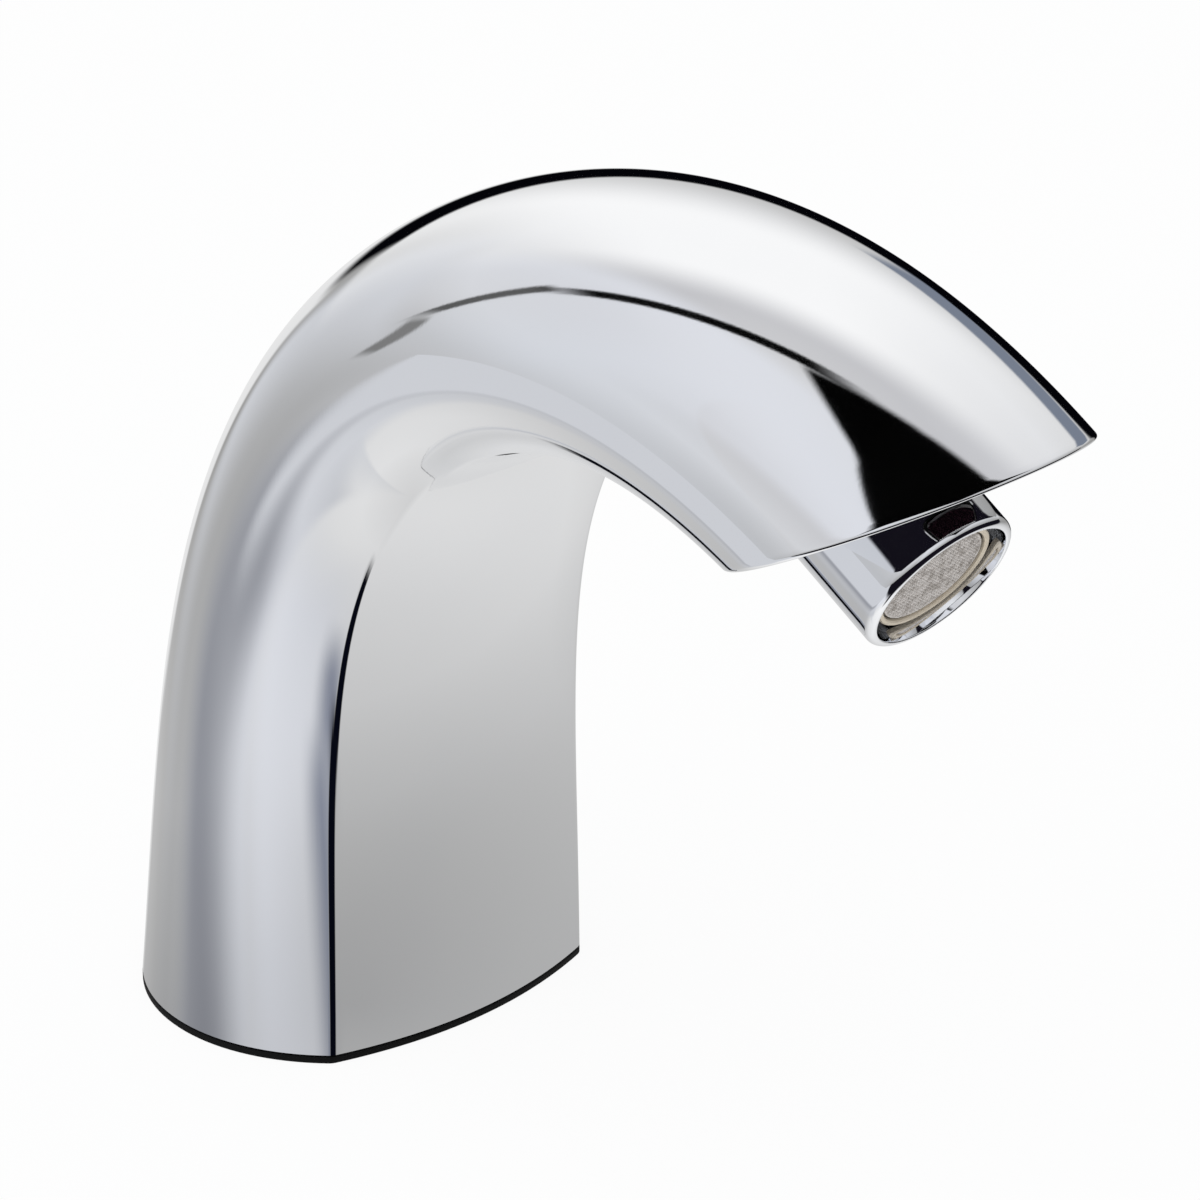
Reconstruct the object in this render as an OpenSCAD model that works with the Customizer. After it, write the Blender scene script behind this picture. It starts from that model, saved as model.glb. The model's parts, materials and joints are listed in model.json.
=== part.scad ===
// Deck-mounted sensor tap: a hollow arched spout body with the valve, waterway and sensor inside it.
// Millimetres. +X points where the water goes, +Z is up, and the origin is the centre of the base
// on the worktop.

/* [Front edge of the spout] */
// Front edges at the base, forward of the origin
front_x = 23.5; // [22.5:0.1:24.5]
// Height up to which the front edges are drawn straight up
front_rise_z = 58.5; // [52:0.5:64]
// Waist of the front edges, forward of the origin
front_waist_x = 19.3; // [18.5:0.1:21]
// Waist of the front edges, height
front_waist_z = 62.5; // [58:0.5:67]
// Pull of the arch, forward of the origin
arch_x = 36.5; // [33:0.5:39]
// Pull of the arch, height
arch_z = 128.3; // [126:0.1:131]
// Heel at the end of the front edges, forward of the origin
heel_x = 99.5; // [98:0.1:101]
// Heel at the end of the front edges, height
heel_z = 102; // [101:0.1:103]

/* [Back and crown of the spout] */
// Back of the base, behind the origin
back_x = 27.2; // [26.4:0.1:30]
// Rise of the back, behind the origin
back_rise_x = 18.2; // [17.5:0.1:22]
// Rise of the back, height
back_rise_z = 63.8; // [60:0.1:68]
// Shoulder of the back, behind the origin
shoulder_x = 21.5; // [20:0.1:26]
// Shoulder of the back, height
shoulder_z = 115.2; // [112:0.1:119]
// Pull of the crown, forward of the origin
crown_x = 45; // [42:0.5:48]
// Pull of the crown, height
crown_z = 171.3; // [169:0.1:175]
// Tip of the spout, forward of the origin
tip_x = 131.5; // [130.5:0.1:133]
// Tip of the spout, height
tip_z = 118.3; // [117.5:0.1:119.5]

/* [Widths and walls] */
// Half the distance between the two front edges at the base
edge_w_base = 24.4; // [23.8:0.1:26]
// The same, a third of the way along the spout
edge_w_low = 23.3; // [22.8:0.1:25]
// The same, two thirds of the way along
edge_w_high = 21.8; // [21.3:0.1:23]
// The same, at the end face
edge_w_end = 20.8; // [20.4:0.1:22]
// Widest half width over edge half width, at the base
flank_base = 1.36; // [1.34:0.01:1.4]
// The same, halfway along
flank_mid = 1.39; // [1.36:0.01:1.42]
// The same, at the end face
flank_end = 1.43; // [1.4:0.01:1.46]
// How far the front face bulges forward between its edges
front_bulge = 4.2; // [3.8:0.1:4.8]
// Wall of the cast body
wall = 2.8; // [2.4:0.1:2.9]
// Thickness of the rubber gasket under the body
gasket_h = 1; // [0.8:0.1:1.5]
// Hole that the gasket leaves open, as wide as a worktop hole
deck_hole_d = 35; // [35:0.5:38]

/* [Base plate and fixings] */
// Thickness of the base plate
plate_h = 7; // [6.5:0.1:8]
// Gap between the base plate and the body wall
plate_gap = 0.4; // [0.3:0.05:0.6]
// Distance between the two fixing stud holes
stud_spacing = 26; // [25.5:0.1:27]
// Tapped hole radius of a fixing stud
stud_hole_r = 2.5; // [2.4:0.05:2.6]
// Radius of a base screw's shank
base_screw_r = 1.75; // [1.6:0.05:1.8]
// Radius of a base screw's head
base_screw_head_r = 3; // [2.8:0.1:3.1]
// Radius of the screw bosses in the body
boss_r = 4.2; // [4.1:0.05:4.3]
// Height of the screw bosses
boss_h = 15; // [12:0.5:18]
// Radius of the cable gland's bore
gland_bore_r = 1.6; // [1.4:0.1:1.8]
// Radius of the cable gland's neck
gland_neck_r = 2.5; // [2.4:0.05:2.55]

/* [Valve] */
// Length of the valve block, front to back
block_l = 39.7; // [39.4:0.1:39.9]
// Width of the valve block
block_w = 19; // [18.8:0.1:19.2]
// Height of the valve block
block_h = 22; // [20:0.5:23]
// Back of the valve block, behind the origin
block_back_x = 16; // [15.5:0.1:16.4]
// Wall radius of the tapped water inlet
inlet_r = 4.5; // [4.3:0.05:4.7]
// Depth of the tapped water inlet
inlet_depth = 12; // [11:0.5:12.5]
// Place of the water inlet, behind the origin
inlet_x = 7.5; // [7:0.1:8]
// Radius of the strainer's chamber beyond the inlet
strainer_r = 4; // [3.8:0.05:4.2]
// Height of the strainer
strainer_h = 3.5; // [3:0.1:4]
// Valve axis, forward of the origin
valve_x = 2; // [1.5:0.1:2.5]
// Radius of the chamber round the valve seat
chamber_r = 7.6; // [7.2:0.1:8]
// Depth of the chamber round the valve seat
chamber_depth = 5; // [4.5:0.1:6]
// Outer radius of the valve seat
seat_r = 4; // [3.8:0.1:4.2]
// Radius of the waterways drilled in the block
channel_r = 2.6; // [2.4:0.1:2.8]
// Thickness of the bonnet's flange
bonnet_h = 6; // [5.5:0.1:7]
// Outer radius of the bonnet's guide tube
guide_r = 4.6; // [4.5:0.05:4.7]
// Height of the guide tube above the flange
guide_h = 24; // [23:0.5:26]
// Radius of the plunger
plunger_r = 3.5; // [3.4:0.05:3.6]
// Length of the plunger above its tip
plunger_l = 16; // [14:0.5:17]
// Travel of the plunger
plunger_travel = 1.5; // [1.2:0.1:1.6]
// Travel of the diaphragm core
core_travel = 1.2; // [1:0.1:1.2]
// Radius of the coil bobbin
bobbin_r = 10.4; // [10:0.1:10.6]

/* [Waterway] */
// Outer radius of the riser tube
tube_r = 4; // [3.8:0.05:4.1]
// Wall of the riser tube
tube_wall = 0.9; // [0.7:0.1:1.1]
// Riser tube, forward of the origin
riser_x = 18.7; // [18.6:0.05:18.8]
// Bend radius of the riser tube
riser_bend_r = 47; // [46:0.5:47.5]

/* [Outlet] */
// Tilt of the outlet away from straight down
outlet_tilt = 60; // [59:0.5:61]
// Centre of the outlet's rim, forward of the origin
outlet_x = 118.3; // [118:0.1:118.6]
// Centre of the outlet's rim, height above the gasket
outlet_z = 98.6; // [98.3:0.1:99]
// Outer radius of the outlet
outlet_r = 12.2; // [11.9:0.1:12.3]
// Rounding of the outlet's rim
rim_round = 0.9; // [0.6:0.1:1]
// Radius of the outlet's bore
outlet_bore_r = 10.3; // [10.2:0.05:10.5]
// Length of the outlet's wide part
outlet_l = 24; // [23:0.5:24]
// Radius of the outlet's neck
neck_r = 8; // [7.6:0.1:8.4]
// Length of the outlet's neck
neck_l = 6; // [5:0.5:6.5]
// Depth of the aerator's front ring inside the rim
aerator_recess = 1.6; // [1.2:0.1:2]
// Radius of the aerator's front ring
aerator_ring_r = 9.3; // [9.2:0.1:9.5]
// Radius of the aerator's mesh
mesh_r = 8.4; // [8.1:0.1:8.5]
// Length of the aerator
aerator_l = 12; // [11:0.5:12.5]

/* [Sensor] */
// Width of the sensor window, across the spout
window_w = 13; // [12:0.5:13.5]
// Height of the sensor window, along the end face
window_h = 5.6; // [5.2:0.1:5.8]
// Thickness of the sensor window
window_t = 1.5; // [1.2:0.1:1.8]
// Distance of the window's centre from the heel, along the end face
window_s = 27; // [26.8:0.1:27.2]
// Radius of the emitter and of the receiver
eye_r = 1.5; // [1.3:0.1:1.6]
// Distance between the emitter and the receiver
eye_spacing = 7; // [6.6:0.1:7.4]
// Radius of the sensor lead
lead_r = 1.2; // [1:0.1:1.4]
// Depth of the sensor lead's centre below the crown
lead_depth = 5.6; // [5.5:0.1:6]

/* [Control unit] */
// Length of the control case, front to back
case_l = 16; // [15:0.5:16.5]
// Width of the control case
case_w = 8; // [7.6:0.1:8.1]
// Height of the control case
case_h = 34; // [30:0.5:35]
// Wall of the control case
case_wall = 1.4; // [1.2:0.1:1.6]

/* [Hidden] */
$fn = 48;

// Small shared clearances
eps = 0.01;
through = 40;
run_gap = 0.05;
fit_gap = 0.1;
loose_gap = 0.3;

// Two curves in the middle plane of the spout, and the widths along it
front_rail = [
    [front_x, 0], [front_x, front_rise_z], [front_waist_x, front_waist_z],
    [arch_x, arch_z], [heel_x, heel_z]
];
back_rail = [
    [-back_x, 0], [-back_rise_x, back_rise_z], [-shoulder_x, shoulder_z],
    [crown_x, crown_z], [tip_x, tip_z]
];
edge_widths = [edge_w_base, edge_w_low, edge_w_high, edge_w_end];
flanks = [flank_base, flank_mid, flank_end];

// How finely the spout is drawn
rings_outside = 34;
rings_inside = 26;
back_steps = 30;
face_steps = 6;
ring_points = back_steps + face_steps;

// The hollow ends this far along the spout, which leaves the end wall
hollow_end = 0.975;

// A point of a Bezier curve of any degree, for numbers and for points
function bezier(p, u) = len(p) == 1
    ? p[0]
    : bezier([for (i = [0:len(p) - 2]) (1 - u) * p[i] + u * p[i + 1]], u);

// Direction across the spout in its middle plane, from the front edges to the crown
function across(u) =
    let (a = bezier(front_rail, u), b = bezier(back_rail, u))
    (b - a) / norm(b - a);

// Outline of the spout at u: an elliptic back and a bulged front between two sharp edges.
// The inset moves every side inwards.
function section(u, inset = 0) =
    let (
        a = bezier(front_rail, u),
        depth = norm(bezier(back_rail, u) - a),
        o = across(u),
        flank = bezier(flanks, u),
        half_w = bezier(edge_widths, u) * flank,
        k = sqrt(1 - 1 / (flank * flank)),
        centre = depth * k / (1 + k),
        semi_t = depth / (1 + k) - inset,
        semi_y = half_w - inset,
        v_edge = acos(-(centre - inset) / semi_t),
        edge_y = semi_y * sin(v_edge),
        back = [for (i = [0:back_steps])
            let (v = v_edge * (2 * i / back_steps - 1))
            [centre + semi_t * cos(v), semi_y * sin(v)]],
        face = [for (i = [1:face_steps - 1])
            let (f = 1 - 2 * i / face_steps)
            [inset - front_bulge * (1 - f * f), edge_y * f]]
    )
    [for (p = concat(back, face)) [a.x + p.x * o.x, p.y, gasket_h + a.y + p.x * o.y]];

// A point of the base outline's ellipse, moved inwards, at an angle from the back
function base_ellipse(inset, v) =
    let (
        depth = front_x + back_x,
        k = sqrt(1 - 1 / (flank_base * flank_base)),
        centre = depth * k / (1 + k)
    )
    [
        front_x - centre - (depth / (1 + k) - inset) * cos(v),
        (edge_w_base * flank_base - inset) * sin(v)
    ];

// A closed solid through a list of rings with the same number of points
module loft(rings) {
    n = len(rings[0]);
    last = len(rings) - 1;
    sides = [for (i = [0:last - 1], j = [0:n - 1])
        let (a = i * n + j, b = i * n + (j + 1) % n)
        each [[a, b, b + n], [a, b + n, a + n]]];
    caps = [[for (j = [n - 1:-1:0]) j], [for (j = [0:n - 1]) last * n + j]];
    polyhedron(points = [for (r = rings) each r], faces = concat(sides, caps), convexity = 6);
}

// A round cord along a list of points that all lie close to the middle plane
module cord(route, r, sides = 8) {
    last = len(route) - 1;
    rings = [for (i = [0:last])
        let (
            d = route[min(i + 1, last)] - route[max(i - 1, 0)],
            t = d / norm(d),
            side = cross([0, 1, 0], t) / norm(cross([0, 1, 0], t)),
            up = cross(t, side)
        )
        [for (j = [0:sides - 1])
            let (v = -360 * j / sides)
            route[i] + r * (cos(v) * side + sin(v) * up)]];
    loft(rings);
}

module ring(r_out, r_in, h) {
    difference() {
        cylinder(r = r_out, h = h);
        translate([0, 0, -eps]) cylinder(r = r_in, h = h + 2 * eps);
    }
}

// A screw that points up: head below, shank above
module screw(shank_r, shank_l, head_r, head_h) {
    translate([0, 0, -0.2 * head_h]) cylinder(r = shank_r, h = shank_l + 0.2 * head_h);
    difference() {
        translate([0, 0, -head_h]) cylinder(r = head_r, h = head_h);
        translate([0, 0, -head_h - eps]) cylinder(r = head_r * 0.5, h = head_h * 0.6, $fn = 6);
    }
}

// Outlet frame: +Z runs out along the water jet, and the rim is at zero
outlet_at = [outlet_x, 0, gasket_h + outlet_z];
module at_outlet() {
    translate(outlet_at) rotate([0, 180 - outlet_tilt, 0]) children();
}

// End face frame: +X runs from the heel to the tip, and +Z points out of the face
end_run = across(1);
end_angle = atan2(end_run.y, end_run.x);
module at_end_face(s = 0) {
    translate([heel_x + s * end_run.x, 0, gasket_h + heel_z + s * end_run.y])
        rotate([0, -end_angle, 0]) rotate([180, 0, 0]) children();
}

// Levels of the stack on the base plate
plate_top = gasket_h + plate_h;
block_top = plate_top + block_h;
bonnet_top = block_top + bonnet_h;
guide_top = bonnet_top + guide_h;
strainer_z = gasket_h + inlet_depth;
channel_rise = 7;
channel_z = plate_top + channel_rise;
seat_drop = 1.5;
seat_z = block_top - seat_drop;
seat_land = 0.7;
core_h = 3.5;
core_r = seat_r + seat_land;
membrane_r = chamber_r + loose_gap + fit_gap;
membrane_h = 1.2;
pad_z = seat_z + core_h;
pad_h = 1.2;
pad_r = 2.2;
pilot_r = 0.5;
plunger_z = pad_z + pad_h;
plunger_top = plunger_z + plunger_l;
pole_z = plunger_top + plunger_travel + loose_gap;

// Base screws: one at the back and two near the front edges
base_seat_z = gasket_h + 4;
base_head_h = 2.6;
base_screw_end = 3;
boss_sink = 0.4;
base_spot_inset = wall + boss_r - boss_sink;
base_screw_spots = [for (v = [0, 125, -125]) base_ellipse(base_spot_inset, v)];

// Screws of the block and of the bonnet
block_screw_r = 1.5;
block_head_r = 2.6;
block_head_h = 2.2;
block_seat_z = gasket_h + 2.5;
block_screw_grip = 5;
block_screw_x = 12.6;
block_screw_edge = 2.6;
block_screw_spots = [for (x = [-1, 1], y = [-1, 1])
    [x * block_screw_x, y * (block_w / 2 - block_screw_edge)]];
inlet_wall = 1.2;
bonnet_l = 22;
bonnet_screw_r = 1.2;
bonnet_head_r = 2.2;
bonnet_head_h = 1.3;
bonnet_screw_grip = 5;
bonnet_screw_edge = 2.1;
bonnet_screw_spots = [for (x = [-1, 1], y = [-1, 1])
    [valve_x + x * (bonnet_l / 2 - bonnet_screw_edge), y * (block_w / 2 - bonnet_screw_edge)]];

// The riser leaves the block straight up, turns over the arch and meets the outlet's axis
riser_end_s = (outlet_x - riser_x - riser_bend_r * (1 + cos(outlet_tilt))) / sin(outlet_tilt);
riser_bend_z = outlet_at.z + riser_end_s * cos(outlet_tilt) - riser_bend_r * sin(outlet_tilt);
riser_socket = 8;
riser_bend_steps = 14;
tube_sides = 24;

// The tube ends inside the outlet, where it fits a short socket behind an O-ring
socket_l = 3;
tube_stop = outlet_l - 4;
ring_t = 0.85;
ring_h = 1.9;
riser_ring_t = 0.6;

// Sensor pocket in the end wall
seal_t = 0.6;
board_t = 0.8;
eye_l = 3.2;
pocket_depth = window_t + eye_l + board_t;
pocket_w = window_w + 2 * seal_t;
pocket_h = window_h + 2 * seal_t;

// Control unit beside the solenoid
case_mid_x = -0.5;
case_x = case_mid_x - case_l / 2;
case_y = 15.7;
case_top = plate_top + case_h;
lid_h = 2;
board_gap = 0.5;
control_board_t = 1.6;
case_screw_r = 1;
case_screw_head_r = 1.7;
case_screw_grip = 4;
case_foot_l = 3.6;
case_foot_w = 4;
case_foot_h = 2;
case_head_h = 1.4;

// The sensor lead follows the crown from the sensor and then drops to the control unit
lead_y = 9;
lead_end_y = 4.6;
lead_end_s = window_s - 2.2;
lead_run = 1.8;
lead_start = 0.95;
lead_leave = 0.4;
lead_pull = 0.2;
lead_steps = 22;
function under_crown(u, depth, y) =
    let (p = bezier(back_rail, u) - depth * across(u))
    [p.x, y, gasket_h + p.y];
// The lead swings from its line under the crown towards the sensor
lead_swing_from = 0.78;
function lead_point(u) =
    let (w = max(0, (u - lead_swing_from) / (lead_start - lead_swing_from)))
    under_crown(u, lead_depth, lead_y + (lead_end_y - lead_y) * w * w * (3 - 2 * w));
// A point behind the end face, at a distance from the heel and at a depth
function behind_end(s, y, depth) = [
    heel_x + s * end_run.x - depth * end_run.y, y,
    gasket_h + heel_z + s * end_run.y + depth * end_run.x
];
lead_top = under_crown(lead_leave, lead_depth, lead_y);
lead_foot = [case_mid_x, case_y + case_w / 2, case_top + lid_h + fit_gap];
lead_drop = [
    lead_top, lead_top + lead_pull * (lead_top - under_crown(lead_leave + 0.2, lead_depth, lead_y)),
    lead_foot + [0, 0, 22], lead_foot
];
lead_route = concat(
    [behind_end(lead_end_s, lead_end_y, pocket_depth + fit_gap),
        behind_end(lead_end_s, lead_end_y, pocket_depth + lead_run)],
    [for (i = [0:lead_steps])
        lead_point(lead_start + (lead_leave - lead_start) * i / lead_steps)],
    [for (i = [1:10]) bezier(lead_drop, i / 10)]
);
clip_spots = [0.45, 0.6, 0.75];
clip_l = 3;
clip_w = 4.6;
clip_wall = 0.7;
clip_rise = 0.5;

// Chromed brass casting: the arched shell with its end wall, screw bosses and outlet boss
module spout_body() {
    outside = [for (i = [0:rings_outside]) section(i / rings_outside)];
    inside = [for (i = [0:rings_inside]) section(hollow_end * i / rings_inside, wall)];
    mouth = [for (p = inside[0]) p - [0, 0, 1]];
    color("gainsboro") difference() {
        union() {
            difference() {
                loft(outside);
                loft(concat([mouth], inside));
            }
            intersection() {
                loft(outside);
                union() {
                    for (s = base_screw_spots)
                        translate([s.x, s.y, plate_top]) cylinder(r = boss_r, h = boss_h);
                    at_outlet() translate([0, 0, -outlet_l - neck_l + 1])
                        cylinder(r = outlet_r + 1.6, h = outlet_l);
                }
            }
        }
        for (s = base_screw_spots)
            translate([s.x, s.y, plate_top - 1])
                cylinder(r = base_screw_r + run_gap, h = boss_h - base_screw_end + 1);
        at_outlet() {
            translate([0, 0, -outlet_l]) cylinder(r = outlet_r + run_gap, h = outlet_l + 20);
            translate([0, 0, -outlet_l - neck_l]) cylinder(r = neck_r + run_gap, h = neck_l + 1);
        }
        at_end_face(window_s)
            translate([-pocket_h / 2, -pocket_w / 2, -pocket_depth])
                cube([pocket_h, pocket_w, pocket_depth + 1]);
        // Opening for the lead, from the pocket into the hollow
        cord(concat([behind_end(lead_end_s, lead_end_y, pocket_depth - 1)],
            [for (i = [1:3]) lead_route[i]]), lead_r + 2 * loose_gap);
    }
}

// Rubber gasket between the worktop and the body
module base_gasket() {
    color([0.05, 0.05, 0.05]) difference() {
        linear_extrude(gasket_h) polygon([for (p = section(0)) [p.x, p.y]]);
        translate([0, 0, -1]) cylinder(d = deck_hole_d, h = gasket_h + 2);
    }
}

// Zinc plate that closes the column and carries the valve
module base_plate() {
    outline = [for (p = section(0, wall + plate_gap)) [p.x, p.y]];
    back_lean = plate_h * (back_x - back_rise_x) / back_rise_z;
    color("silver") difference() {
        translate([0, 0, gasket_h]) linear_extrude(plate_h) intersection() {
            polygon(outline);
            translate([back_lean, 0]) polygon(outline);
        }
        for (s = base_screw_spots) translate([s.x, s.y, 0]) {
            cylinder(r = base_screw_r + fit_gap, h = through);
            cylinder(r = base_screw_head_r + fit_gap, h = base_seat_z);
        }
        for (s = block_screw_spots) translate([s.x, s.y, 0]) {
            cylinder(r = block_screw_r + fit_gap, h = through);
            cylinder(r = block_head_r + fit_gap, h = block_seat_z);
        }
        for (y = [-1, 1]) translate([0, y * stud_spacing / 2, 0])
            cylinder(r = stud_hole_r, h = through);
        translate([-inlet_x, 0, 0]) cylinder(r = inlet_r + inlet_wall + fit_gap, h = through);
        translate([gland_spot.x, gland_spot.y, 0]) cylinder(r = gland_neck_r, h = through);
        for (x = control_screw_xs) translate([x, case_y + case_w / 2, plate_top - case_screw_grip - 1])
            cylinder(r = case_screw_r, h = through);
    }
}

module base_screws() {
    color("slategray") for (s = base_screw_spots) translate([s.x, s.y, base_seat_z])
        screw(base_screw_r, plate_top + boss_h - base_screw_end - 1 - base_seat_z,
            base_screw_head_r, base_head_h);
}

// Rubber gland that the power cable goes through
gland_spot = [-8.6, 12.2];
gland_rise = 2;
module cable_gland() {
    color([0.1, 0.1, 0.1]) translate([gland_spot.x, gland_spot.y, gasket_h]) difference() {
        cylinder(r = gland_neck_r, h = plate_h + gland_rise);
        translate([0, 0, -1]) cylinder(r = gland_bore_r, h = plate_h + gland_rise + 2);
    }
}

// Brass block with the inlet, the valve seat and the way to the riser
feed_r = 1.6;
module valve_block() {
    color("darkgoldenrod") difference() {
        union() {
            translate([-block_back_x, -block_w / 2, plate_top]) cube([block_l, block_w, block_h]);
            translate([-inlet_x, 0, gasket_h]) cylinder(r = inlet_r + inlet_wall, h = plate_h + 1);
        }
        translate([-inlet_x, 0, 0]) cylinder(r = inlet_r, h = strainer_z);
        translate([-inlet_x, 0, 0]) cylinder(r = strainer_r, h = strainer_z + strainer_h);
        translate([valve_x - (chamber_r + seat_r) / 2, 0, strainer_z + strainer_h - 1])
            cylinder(r = feed_r, h = block_h);
        translate([valve_x, 0, block_top - chamber_depth]) ring(chamber_r, seat_r, chamber_depth + 1);
        translate([valve_x, 0, seat_z]) cylinder(r = core_r + loose_gap, h = seat_drop + 1);
        translate([valve_x, 0, channel_z]) cylinder(r = channel_r, h = block_h);
        translate([valve_x, 0, channel_z]) rotate([0, 90, 0]) cylinder(r = channel_r, h = block_l);
        translate([riser_x, 0, channel_z]) cylinder(r = channel_r, h = block_h);
        translate([riser_x, 0, block_top - riser_socket])
            cylinder(r = tube_r + run_gap, h = riser_socket + 1);
        translate([riser_x, 0, block_top - ring_h - 1])
            cylinder(r = tube_r + run_gap + riser_ring_t, h = ring_h + 2);
        for (s = block_screw_spots) translate([s.x, s.y, plate_top - 1])
            cylinder(r = block_screw_r + run_gap, h = block_screw_grip + 2);
        for (s = bonnet_screw_spots) translate([s.x, s.y, block_top - bonnet_screw_grip - 1])
            cylinder(r = bonnet_screw_r + run_gap, h = bonnet_screw_grip + 2);
    }
}

module block_screws() {
    color("slategray") for (s = block_screw_spots) translate([s.x, s.y, block_seat_z])
        screw(block_screw_r, plate_top + block_screw_grip - block_seat_z, block_head_r, block_head_h);
}

// Mesh cup beyond the inner end of the inlet
strainer_wall = 0.6;
strainer_pitch = 1;
strainer_hole_r = 0.3;
module inlet_strainer() {
    color("lightgray") translate([-inlet_x, 0, strainer_z]) difference() {
        cylinder(r = strainer_r - fit_gap, h = strainer_h - fit_gap);
        translate([0, 0, strainer_wall]) cylinder(r = strainer_r - fit_gap - strainer_wall, h = strainer_h);
        for (x = [-2:2], y = [-2:2])
            translate([x * strainer_pitch, y * strainer_pitch, -1])
                cylinder(r = strainer_hole_r, h = strainer_wall + 2, $fn = 6);
    }
}

// Plug that closes the drilled waterway at the front of the block
plug_l = 2.4;
plug_hex_r = 1.3;
module channel_plug() {
    color("goldenrod") translate([block_l - block_back_x - plug_l, 0, channel_z]) rotate([0, 90, 0])
        difference() {
            cylinder(r = channel_r - run_gap, h = plug_l);
            translate([0, 0, plug_l / 2]) cylinder(r = plug_hex_r, h = plug_l, $fn = 6);
        }
}

// Rubber diaphragm, clamped under the bonnet
module diaphragm_membrane() {
    color([0.12, 0.12, 0.12]) translate([valve_x, 0, block_top])
        ring(membrane_r, core_r + loose_gap, membrane_h);
}

// Stiff middle of the diaphragm, which lifts off the seat
module diaphragm_core() {
    color("whitesmoke") translate([valve_x, 0, seat_z]) difference() {
        cylinder(r = core_r, h = core_h);
        translate([0, 0, -1]) cylinder(r = pilot_r, h = core_h + 2);
    }
}

// Bonnet with the guide tube for the plunger
module valve_bonnet() {
    color("silver") difference() {
        union() {
            translate([valve_x - bonnet_l / 2, -block_w / 2, block_top])
                cube([bonnet_l, block_w, bonnet_h]);
            translate([valve_x, 0, bonnet_top - eps]) cylinder(r = guide_r, h = guide_h + eps);
        }
        translate([valve_x, 0, block_top - 1])
            cylinder(r = membrane_r + fit_gap, h = 1 + membrane_h + fit_gap);
        translate([valve_x, 0, block_top])
            cylinder(r = core_r + loose_gap, h = pad_z - block_top + core_travel + loose_gap);
        translate([valve_x, 0, block_top]) cylinder(r = plunger_r + run_gap, h = bonnet_h + guide_h + 1);
        for (s = bonnet_screw_spots) translate([s.x, s.y, block_top - 1])
            cylinder(r = bonnet_screw_r + run_gap, h = bonnet_h + 2);
    }
}

module bonnet_screws() {
    color("slategray") for (s = bonnet_screw_spots) translate([s.x, s.y, bonnet_top]) rotate([180, 0, 0])
        screw(bonnet_screw_r, bonnet_h + bonnet_screw_grip, bonnet_head_r, bonnet_head_h);
}

// Steel plunger, bored at the top for its spring
spring_r = 1.7;
spring_wire_r = 0.25;
spring_turns = 7;
spring_pocket = 8;
module solenoid_plunger() {
    color("lightsteelblue") translate([valve_x, 0, plunger_z]) difference() {
        cylinder(r = plunger_r, h = plunger_l);
        translate([0, 0, plunger_l - spring_pocket])
            cylinder(r = spring_r + spring_wire_r + 2 * fit_gap, h = spring_pocket + 1);
    }
}

// Rubber pad under the plunger that closes the pilot hole
module plunger_pad() {
    color([0.15, 0.15, 0.15]) translate([valve_x, 0, pad_z]) cylinder(r = pad_r, h = pad_h);
}

// Return spring between the plunger and the pole core
module plunger_spring() {
    bottom = plunger_top - spring_pocket + spring_wire_r;
    rise = pole_z - spring_wire_r - bottom;
    steps = spring_turns * 8;
    color("silver") translate([valve_x, 0, 0]) loft([for (i = [0:steps])
        let (v = 45 * i, z = bottom + rise * i / steps)
        [for (j = [0:5])
            let (a = -60 * j, r = spring_r + spring_wire_r * cos(a))
            [r * cos(v), r * sin(v), z + spring_wire_r * sin(a)]]]);
}

// Fixed iron core that closes the guide tube, with a stud for the nut
stud_r = 2.5;
stud_l = 7.5;
pole_flange = 1;
module pole_core() {
    color("gray") translate([valve_x, 0, 0]) {
        translate([0, 0, pole_z]) cylinder(r = plunger_r, h = guide_top - pole_z);
        translate([0, 0, guide_top]) cylinder(r = guide_r, h = pole_flange);
        translate([0, 0, guide_top]) cylinder(r = stud_r, h = stud_l);
    }
}

// Coil parts round the guide tube
yoke_t = 1.4;
yoke_w = 12;
yoke_z = bonnet_top + 2 * fit_gap;
yoke_top = guide_top + pole_flange + yoke_t;
yoke_reach = bobbin_r + 0.5;
bobbin_z = yoke_z + yoke_t;
bobbin_h = guide_top - bobbin_z;
bobbin_flange = 1.2;
bobbin_wall = 1;
bobbin_core_r = guide_r + fit_gap + bobbin_wall;
winding_inset = 0.8;
nut_r = 5;
nut_h = 3.2;
module coil_bobbin() {
    color("ivory") translate([valve_x, 0, bobbin_z]) difference() {
        union() {
            cylinder(r = bobbin_core_r, h = bobbin_h);
            cylinder(r = bobbin_r, h = bobbin_flange);
            translate([0, 0, bobbin_h - bobbin_flange]) cylinder(r = bobbin_r, h = bobbin_flange);
        }
        translate([0, 0, -1]) cylinder(r = guide_r + fit_gap, h = bobbin_h + 2);
    }
}

module coil_winding() {
    color("chocolate") translate([valve_x, 0, bobbin_z + bobbin_flange])
        ring(bobbin_r - winding_inset, bobbin_core_r + run_gap, bobbin_h - 2 * bobbin_flange);
}

module coil_yoke() {
    color("dimgray") translate([valve_x, 0, 0]) difference() {
        translate([-yoke_w / 2, -yoke_reach - yoke_t, yoke_z])
            cube([yoke_w, 2 * (yoke_reach + yoke_t), yoke_top - yoke_z]);
        translate([-yoke_w / 2 - 1, -yoke_reach, bobbin_z])
            cube([yoke_w + 2, 2 * yoke_reach, yoke_top - yoke_t - bobbin_z]);
        translate([0, 0, yoke_z - 1]) cylinder(r = guide_r + fit_gap, h = yoke_t + 2);
        translate([0, 0, yoke_top - yoke_t - 1]) cylinder(r = stud_r + fit_gap, h = yoke_t + 2);
    }
}

module solenoid_nut() {
    color("silver") translate([valve_x, 0, yoke_top]) difference() {
        cylinder(r = nut_r, h = nut_h, $fn = 6);
        translate([0, 0, -1]) cylinder(r = stud_r + run_gap, h = nut_h + 2);
    }
}

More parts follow.
